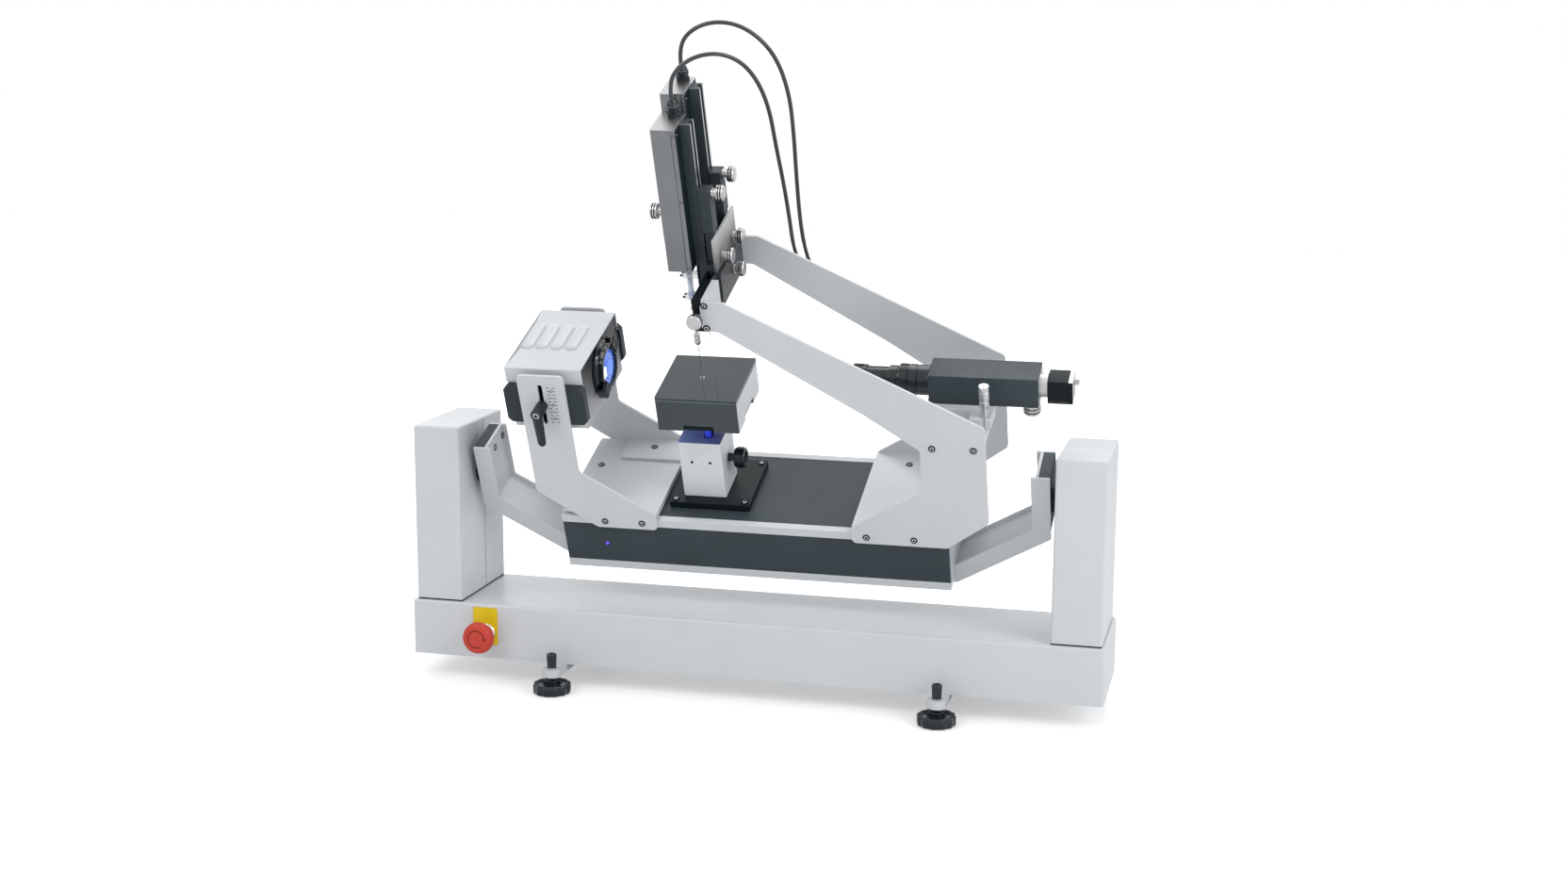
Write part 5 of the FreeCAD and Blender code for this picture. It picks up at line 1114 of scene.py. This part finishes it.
def dress_drives():
    for side, v, lift in (("front", needle_v, 0.0), ("rear", needle_v + rear_v, rear_w)):
        dosing_case("dosing_box_" + side, v, lift)
        dress_syringe("syringe_" + side, v, lift)
        coat_node("plunger_" + side, "steel")


# Optics


def dress_optics():
    low, high = node_box("optics_box")
    # The optics box's eased edges take a painted highlight.
    finer("optics_box", ["dark_coat", "case_edge", "painted_edge_highlight"], 0.35, outer_face(0, low.x), 2)
    places = [((low.x - 0.2, needle_v + a * 17.5, (low.z + high.z) / 2 + b * 15.0), leftwards)
              for a in (-1, 1) for b in (-1, 1)]
    screws_on("optics_box_screws", places, "optics_box", 1.7, "steel")
    low, high = node_box("camera")
    end = high.x - 6.0
    finer("camera", ["black_anodised", "aluminium"], 0.35,
          lambda middle, normal: middle.x > end - 5.05 or middle.x < low.x + 11.2 or middle.z < low.z + 2.55)
    profile = [(3.5, 0.0)]
    for thread in range(5):
        x = 0.5 + thread * 1.05
        profile += [(3.5, x), (3.1, x + 0.15), (3.1, x + 0.45), (3.5, x + 0.6)]
    profile += [(3.5, 5.9), (2.7, 6.0), (2.6, 5.6, 1), (2.5, 2.6, 1), (0, 2.6, 1)]
    socket = Shape().spun(profile, facing(end, needle_v, high.z - 7.0, rightwards), 32)
    socket.piece("camera_socket", ["steel", "shadow"], "camera")


def zoom_lens():
    """The zoom lens from its mount at the right to its front glass, with two ribbed grips and small screws."""
    low, high = node_box("zoom_lens")
    w = (low.z + high.z) / 2
    lens = Shape().spun([
        (14.0, 0.0), (17.2, 0.0), (17.8, 0.5), (17.8, 13.4), (17.3, 14.0), (17.3, 15.0), (18.1, 15.6),
        (18.3, 16.2), (18.3, 24.0), (17.4, 24.6), (17.4, 25.6), (18.3, 26.2), (18.3, 35.2), (17.6, 36.0),
        (16.0, 36.0), (15.6, 37.0), (15.6, 38.0), (16.0, 38.6), (16.0, 47.2), (15.4, 48.0), (14.2, 48.4),
        (14.2, 53.0), (13.8, 53.3), (13.8, 54.2), (14.2, 54.6), (14.2, 66.0), (13.8, 66.3), (13.8, 67.2),
        (14.2, 67.6), (14.2, 73.6), (15.2, 74.0), (16.0, 74.8), (16.0, 91.0), (15.4, 92.0), (14.8, 92.2),
        (14.8, 107.6), (14.2, 108.8), (12.4, 109.0), (11.6, 108.6), (11.2, 106.0), (11.0, 105.2, 1),
        (8.0, 106.4, 1), (4.0, 107.1, 1), (0, 107.3, 1)], facing(high.x, needle_v, w, leftwards), 96)
    lens.stand_in("zoom_lens", ["black_gloss", "lens_glass"])
    for name, from_mount, length, radius, count in (("lens_grip_1", 30.8, 8.6, 18.15, 60),
                                                    ("lens_grip_2", 84.5, 11.0, 15.9, 54)):
        ribs = ring_places((high.x - from_mount, needle_v, w), radius, count)
        bars_on(name, ribs, "zoom_lens", 0.9, length, 0.7, "black_plastic")
    places = []
    for from_mount, degrees, radius in ((7.0, -100, 17.8), (7.0, 20, 17.8), (43.0, -110, 16.0),
                                        (20.0, -95, 18.3)):
        out = outwards(math.radians(degrees))
        places.append((Vector((high.x - from_mount, needle_v, w)) + out * (radius - 0.25), tuple(out)))
    screws_on("lens_screws", places, "zoom_lens", 1.2, "steel")


def dress_micrometer():
    low, high = node_box("micrometer")
    x, v, top = (low.x + high.x) / 2, (low.y + high.y) / 2, high.z
    Shape().spun([
        (4.75, low.z), (4.75, 136.0), (5.6, 136.4), (5.9, 137.0), (5.9, 145.0), (5.5, 145.8), (5.9, 146.2),
        (6.5, 147.0), (6.5, top - 7.6), (6.2, top - 7.2), (6.2, top - 6.6), (6.5, top - 6.2), (6.5, top - 1.9),
        (6.3, top - 0.9), (5.6, top - 0.25), (4.6, top), (3.2, top), (3.0, top - 0.3), (1.2, top - 0.3),
        (1.0, top - 0.8, 1), (0, top - 0.8, 1)], Matrix.Translation((x, v, 0)), 64).stand_in(
            "micrometer", ["silver", "shadow"])
    marks = ring_places((x, v, 148.4), 6.48, 25, "Z")
    for point, *_ in marks[::5]:
        point.z += 0.25
    bars_on("micrometer_marks", marks, "micrometer", 0.16, 2.0, 0.12, "marking")
    sleeve = [((x, v - 5.88, 137.6 + 0.9 * k), forwards, rightwards) for k in range(9)]
    bars_on("sleeve_marks", sleeve, "micrometer", 0.14, 2.2, 0.12, "marking")


# The cables, each with its length in metres


cable_radius = 2.4
cables = {
    "dosing_cable_front": (0.802, (
        (-65.5, 39.0, 480.2), (-65.5, 39.0, 497.0), (-58.0, 40.0, 515.0), (-38.0, 48.0, 528.0),
        (-13.0, 61.0, 528.0), (9.0, 73.0, 513.0), (23.0, 84.0, 485.0), (29.0, 98.0, 445.0),
        (29.0, 110.0, 395.0), (31.0, 119.5, 345.0), (33.0, 123.5, 297.0), (34.5, 123.0, 258.0),
        (42.0, 122.5, 232.0), (58.0, 122.5, 216.4), (95.0, 122.5, 192.9), (130.0, 122.5, 170.7),
        (165.0, 122.5, 148.6), (186.0, 122.5, 135.2), (204.0, 123.0, 117.0), (213.5, 124.0, 88.0),
        (216.0, 125.0, 50.0), (216.3, 125.4, -15.0), (216.0, 125.0, -77.0))),
    "dosing_cable_rear": (0.826, (
        (-65.5, 88.0, 501.8), (-65.5, 88.0, 519.0), (-56.0, 90.0, 538.0), (-32.0, 94.0, 550.0),
        (-2.0, 98.0, 548.0), (24.0, 102.0, 530.0), (42.0, 107.0, 500.0), (50.0, 113.0, 455.0),
        (49.0, 119.0, 405.0), (46.0, 124.5, 350.0), (44.0, 129.5, 297.0), (45.5, 131.0, 258.0),
        (52.0, 130.5, 227.0), (68.0, 130.5, 210.1), (105.0, 130.5, 186.6), (140.0, 130.5, 164.4),
        (178.0, 130.5, 140.3), (200.0, 130.5, 126.4), (218.0, 130.0, 107.0), (227.5, 129.5, 78.0),
        (230.0, 129.5, 42.0), (230.3, 129.9, -20.0), (230.0, 129.5, -77.0))),
}


def dosing_cables():
    for node, (length, route) in cables.items():
        line = bpy.data.curves.new(node + "_sheath", "CURVE")
        line.dimensions = "3D"
        line.bevel_depth = cable_radius * mm
        line.bevel_resolution = 5
        line.resolution_u = 8
        line.use_fill_caps = True
        path = line.splines.new("NURBS")
        points = [level_frame @ Vector(point) for point in route]
        path.points.add(len(points) - 1)
        for control, point in zip(path.points, points):
            control.co = (*point, 1)
        path.order_u = 3
        path.use_endpoint_u = True
        line.materials.append(finishes["cable"])
        sheath = bpy.data.objects.new(node + "_sheath", line)
        bpy.context.scene.collection.objects.link(sheath)
        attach(sheath, body_of(node))
        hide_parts(node)


# The stage, in metres


def set_stage():
    settings = bpy.context.scene.tensiometer_stage
    pale_floor(settings)
    studio_world(settings)
    studio_lights(settings)
    photo_camera()
    bpy.context.scene.view_settings.view_transform = "Standard"


def pale_floor(settings):
    """A pale floor that keeps the object's shadow and turns white away from it, to the camera alone."""
    half, height = 6.0, -0.0005
    data = bpy.data.meshes.new("floor")
    data.from_pydata([(-half, -half, height), (half, -half, height), (half, half, height), (-half, half, height)],
                     [], [(0, 1, 2, 3)])
    floor = bpy.data.objects.new("floor", data)
    bpy.context.scene.collection.objects.link(floor)
    material, nodes, shader = new_material("pale_floor", {
        "Base Color": (0.82, 0.825, 0.835, 1), "Roughness": 0.5, "Specular IOR Level": 0.15,
        "Emission Color": (1, 1, 1, 1)})
    place = nodes.add("ShaderNodeTexCoord").outputs["Object"]
    reach = nodes.add("ShaderNodeVectorMath", {0: place}, operation="LENGTH").outputs["Value"]
    glow = nodes.add("ShaderNodeMapRange", {"Value": reach, "From Min": 0.45, "From Max": 1.3,
                                            "To Min": settings.floor_lift, "To Max": 0.85}).outputs["Result"]
    seen = nodes.add("ShaderNodeLightPath").outputs["Is Camera Ray"]
    lift = nodes.add("ShaderNodeMath", {0: seen, 1: glow}, operation="MULTIPLY").outputs[0]
    nodes.feed(shader.inputs["Emission Strength"], lift)
    data.materials.append(material)


def studio_world(settings):
    """Soft even light, with white behind what the camera, gloss and clear plastic see."""
    world = bpy.data.worlds.new("studio")
    world.use_nodes = True
    world.node_tree.nodes.clear()
    bpy.context.scene.world = world
    nodes = Nodes(world.node_tree)
    soft = nodes.add("ShaderNodeBackground", {"Color": (0.97, 0.985, 1.0, 1), "Strength": settings.room_light})
    white = nodes.add("ShaderNodeBackground", {"Color": (1, 1, 1, 1), "Strength": 1.0})
    rays = nodes.add("ShaderNodeLightPath").outputs
    shown = rays["Is Camera Ray"]
    for kind in ("Is Glossy Ray", "Is Transmission Ray"):
        shown = nodes.add("ShaderNodeMath", {0: shown, 1: rays[kind]}, operation="MAXIMUM").outputs[0]
    blend = nodes.add("ShaderNodeMixShader", {0: shown, 1: soft.outputs[0], 2: white.outputs[0]}).outputs[0]
    nodes.add("ShaderNodeOutputWorld", {"Surface": blend})


def studio_lights(settings):
    for name, power, size, place, aim in (
            ("key_light", settings.key_power, 1.6, (-1.6, -2.2, 2.6), (0, 0, 0.3)),
            ("fill_light", settings.fill_power, 1.4, (2.2, -1.2, 1.6), (0, 0, 0.3)),
            ("top_light", settings.top_power, 1.8, (0.2, 0.8, 2.7), (0, 0, 0)),
            ("back_light", settings.back_power, 1.8, (-0.9, 2.4, 1.8), (0, 0, 0.1))):
        lamp = bpy.data.lights.new(name, "AREA")
        lamp.energy = power
        lamp.size = size
        holder = bpy.data.objects.new(name, lamp)
        holder.location = place
        holder.rotation_euler = (Vector(aim) - Vector(place)).to_track_quat("-Z", "Y").to_euler()
        bpy.context.scene.collection.objects.link(holder)


def photo_camera():
    """The camera that was solved from the photograph, with its turns in radians."""
    data = bpy.data.cameras.new("photo_camera")
    data.lens, data.sensor_width, data.clip_start = 46.617, 36.0, 0.05
    camera = bpy.data.objects.new("photo_camera", data)
    yaw, pitch, roll = 0.244515, -0.185310, 0.0055954
    ahead = Vector((-math.sin(yaw) * math.cos(pitch), math.cos(yaw) * math.cos(pitch), math.sin(pitch)))
    level = Vector((math.cos(yaw), math.sin(yaw), 0))
    above = level.cross(ahead)
    right = level * math.cos(roll) + above * math.sin(roll)
    up = above * math.cos(roll) - level * math.sin(roll)
    turn = Matrix((right, up, -ahead)).transposed().to_4x4()
    camera.matrix_world = Matrix.Translation((0.60844, -2.32568, 0.75546)) @ turn
    bpy.context.scene.collection.objects.link(camera)
    bpy.context.scene.camera = camera


# The add-on


def colour_setting(name, description, default):
    return FloatVectorProperty(name=name, description=description, default=default, size=3, min=0.0, max=1.0,
                               subtype="COLOR")


def power_setting(name, description, default):
    return FloatProperty(name=name, description=description, default=default, min=0.0, unit="POWER")


class TENSIOMETER_finish_settings(bpy.types.PropertyGroup):
    light_coat: colour_setting("Light coat", "Powder coat of the stand, brackets and covers", (0.63, 0.65, 0.665))
    dark_coat: colour_setting("Dark coat", "Powder coat of the deck, panels and heat sinks", (0.042, 0.057, 0.066))
    black: colour_setting("Black", "Anodised and moulded black parts", (0.006, 0.0108, 0.0135))
    silver: colour_setting("Silver", "Turned knobs and screws", (0.60, 0.60, 0.60))
    dark_gloss: colour_setting("Glossy dark sheet", "Chamber walls and lid", (0.038, 0.051, 0.059))
    yellow: colour_setting("Yellow plate", "Plate behind the stop button", (0.75, 0.53, 0.012))
    red: colour_setting("Red button", "Stop button's head", (0.56, 0.055, 0.035))
    lamp_light: colour_setting("Lamp light", "Colour of the lit lamp lens", (0.10, 0.26, 0.95))


class TENSIOMETER_size_settings(bpy.types.PropertyGroup):
    wheel_lobes: IntProperty(
        name="Wheel lobes", description="Grip lobes round each levelling wheel", default=12, min=3, max=40)
    scallop_depth: FloatProperty(
        name="Scallop depth", description="Depth of the hollows between lobes in millimetres", default=1.4,
        min=0.0, max=5.0)


class TENSIOMETER_stage_settings(bpy.types.PropertyGroup):
    room_light: FloatProperty(
        name="Room light", description="Strength of the even studio light", default=0.62, min=0.0, max=5.0)
    floor_lift: FloatProperty(
        name="Floor lift", description="Light that the camera sees from the floor itself", default=0.37,
        min=0.0, max=1.0)
    key_power: power_setting("Key power", "Power of the light on the left", 25.5)
    fill_power: power_setting("Fill power", "Power of the light on the right", 25.5)
    top_power: power_setting("Top power", "Power of the light overhead", 21.0)
    back_power: power_setting("Back power", "Power of the low light behind", 8.0)


steps = (
    ("stage", "Studio stage", "Set the floor, lights and camera", (set_stage,)),
    ("stand", "Stand", "Dress the beam, pillars, bearings and foot bars", (dress_stand,)),
    ("feet", "Levelling feet", "Turn the four scalloped wheels with their caps", (levelling_feet,)),
    ("stop_button", "Stop button", "Make the plate, ring and head of the stop button", (stop_button,)),
    ("base", "Instrument base", "Dress the chassis, panels, deck and power light", (dress_base,)),
    ("cradle", "Cradle and screws", "Dress the cradle and set the screws", (dress_cradle,)),
    ("plates", "Bent plates", "Dress the brackets and side plates and print the scale",
     (dress_plates, lamp_scale)),
    ("lamp", "Lamp", "Make the lamp's covers, heat sinks, lens and levers",
     (dress_lamp, lamp_lens, lamp_levers)),
    ("sample_stage", "Sample stage", "Dress the stage, column and chamber and make the knob",
     (dress_stage, stage_knob)),
    ("crosshead", "Crosshead", "Dress the crosshead bar and the dosing carriage", (dress_crosshead,)),
    ("dosing", "Dosing drives", "Make the two syringe drives with their glass", (dress_drives,)),
    ("knobs", "Silver knobs", "Turn the silver knobs with their rings", (dress_knobs,)),
    ("optics", "Optics", "Make the lens, camera, micrometer and their box",
     (dress_optics, zoom_lens, dress_micrometer)),
    ("cables", "Dosing cables", "Lay the two cables from the drives to the duct", (dosing_cables,)),
)


def step_operator(key, label, description, actions):
    """An operator class that runs a step's actions; what goes wrong is raised."""

    def execute(self, context):
        if not finishes:
            make_finishes()
        for action in actions:
            action()
        return {"FINISHED"}

    return type("TENSIOMETER_OT_" + key, (bpy.types.Operator,), {
        "__doc__": description, "bl_idname": "tensiometer." + key, "bl_label": label,
        "bl_options": {"REGISTER", "UNDO"}, "execute": execute})


class TENSIOMETER_PT_panel(bpy.types.Panel):
    """Buttons for every step and the settings that they read"""

    bl_label = "Tensiometer"
    bl_idname = "TENSIOMETER_PT_panel"
    bl_space_type = "VIEW_3D"
    bl_region_type = "UI"
    bl_category = "Tensiometer"

    def draw(self, context):
        for key, *_ in steps:
            self.layout.operator("tensiometer." + key)
        for name in groups:
            box = self.layout.box()
            settings = getattr(context.scene, name)
            for entry in settings.__annotations__:
                box.prop(settings, entry)


groups = {
    "tensiometer_finish": TENSIOMETER_finish_settings,
    "tensiometer_size": TENSIOMETER_size_settings,
    "tensiometer_stage": TENSIOMETER_stage_settings,
}
classes = [*groups.values(), *(step_operator(*step) for step in steps), TENSIOMETER_PT_panel]


def register():
    for item in classes:
        bpy.utils.register_class(item)
    for name, group in groups.items():
        setattr(bpy.types.Scene, name, PointerProperty(type=group))


def unregister():
    for name in groups:
        delattr(bpy.types.Scene, name)
    for item in reversed(classes):
        bpy.utils.unregister_class(item)


def main():
    register()
    for key, *_ in steps:
        getattr(bpy.ops.tensiometer, key)()


if __name__ == "__main__":
    main()
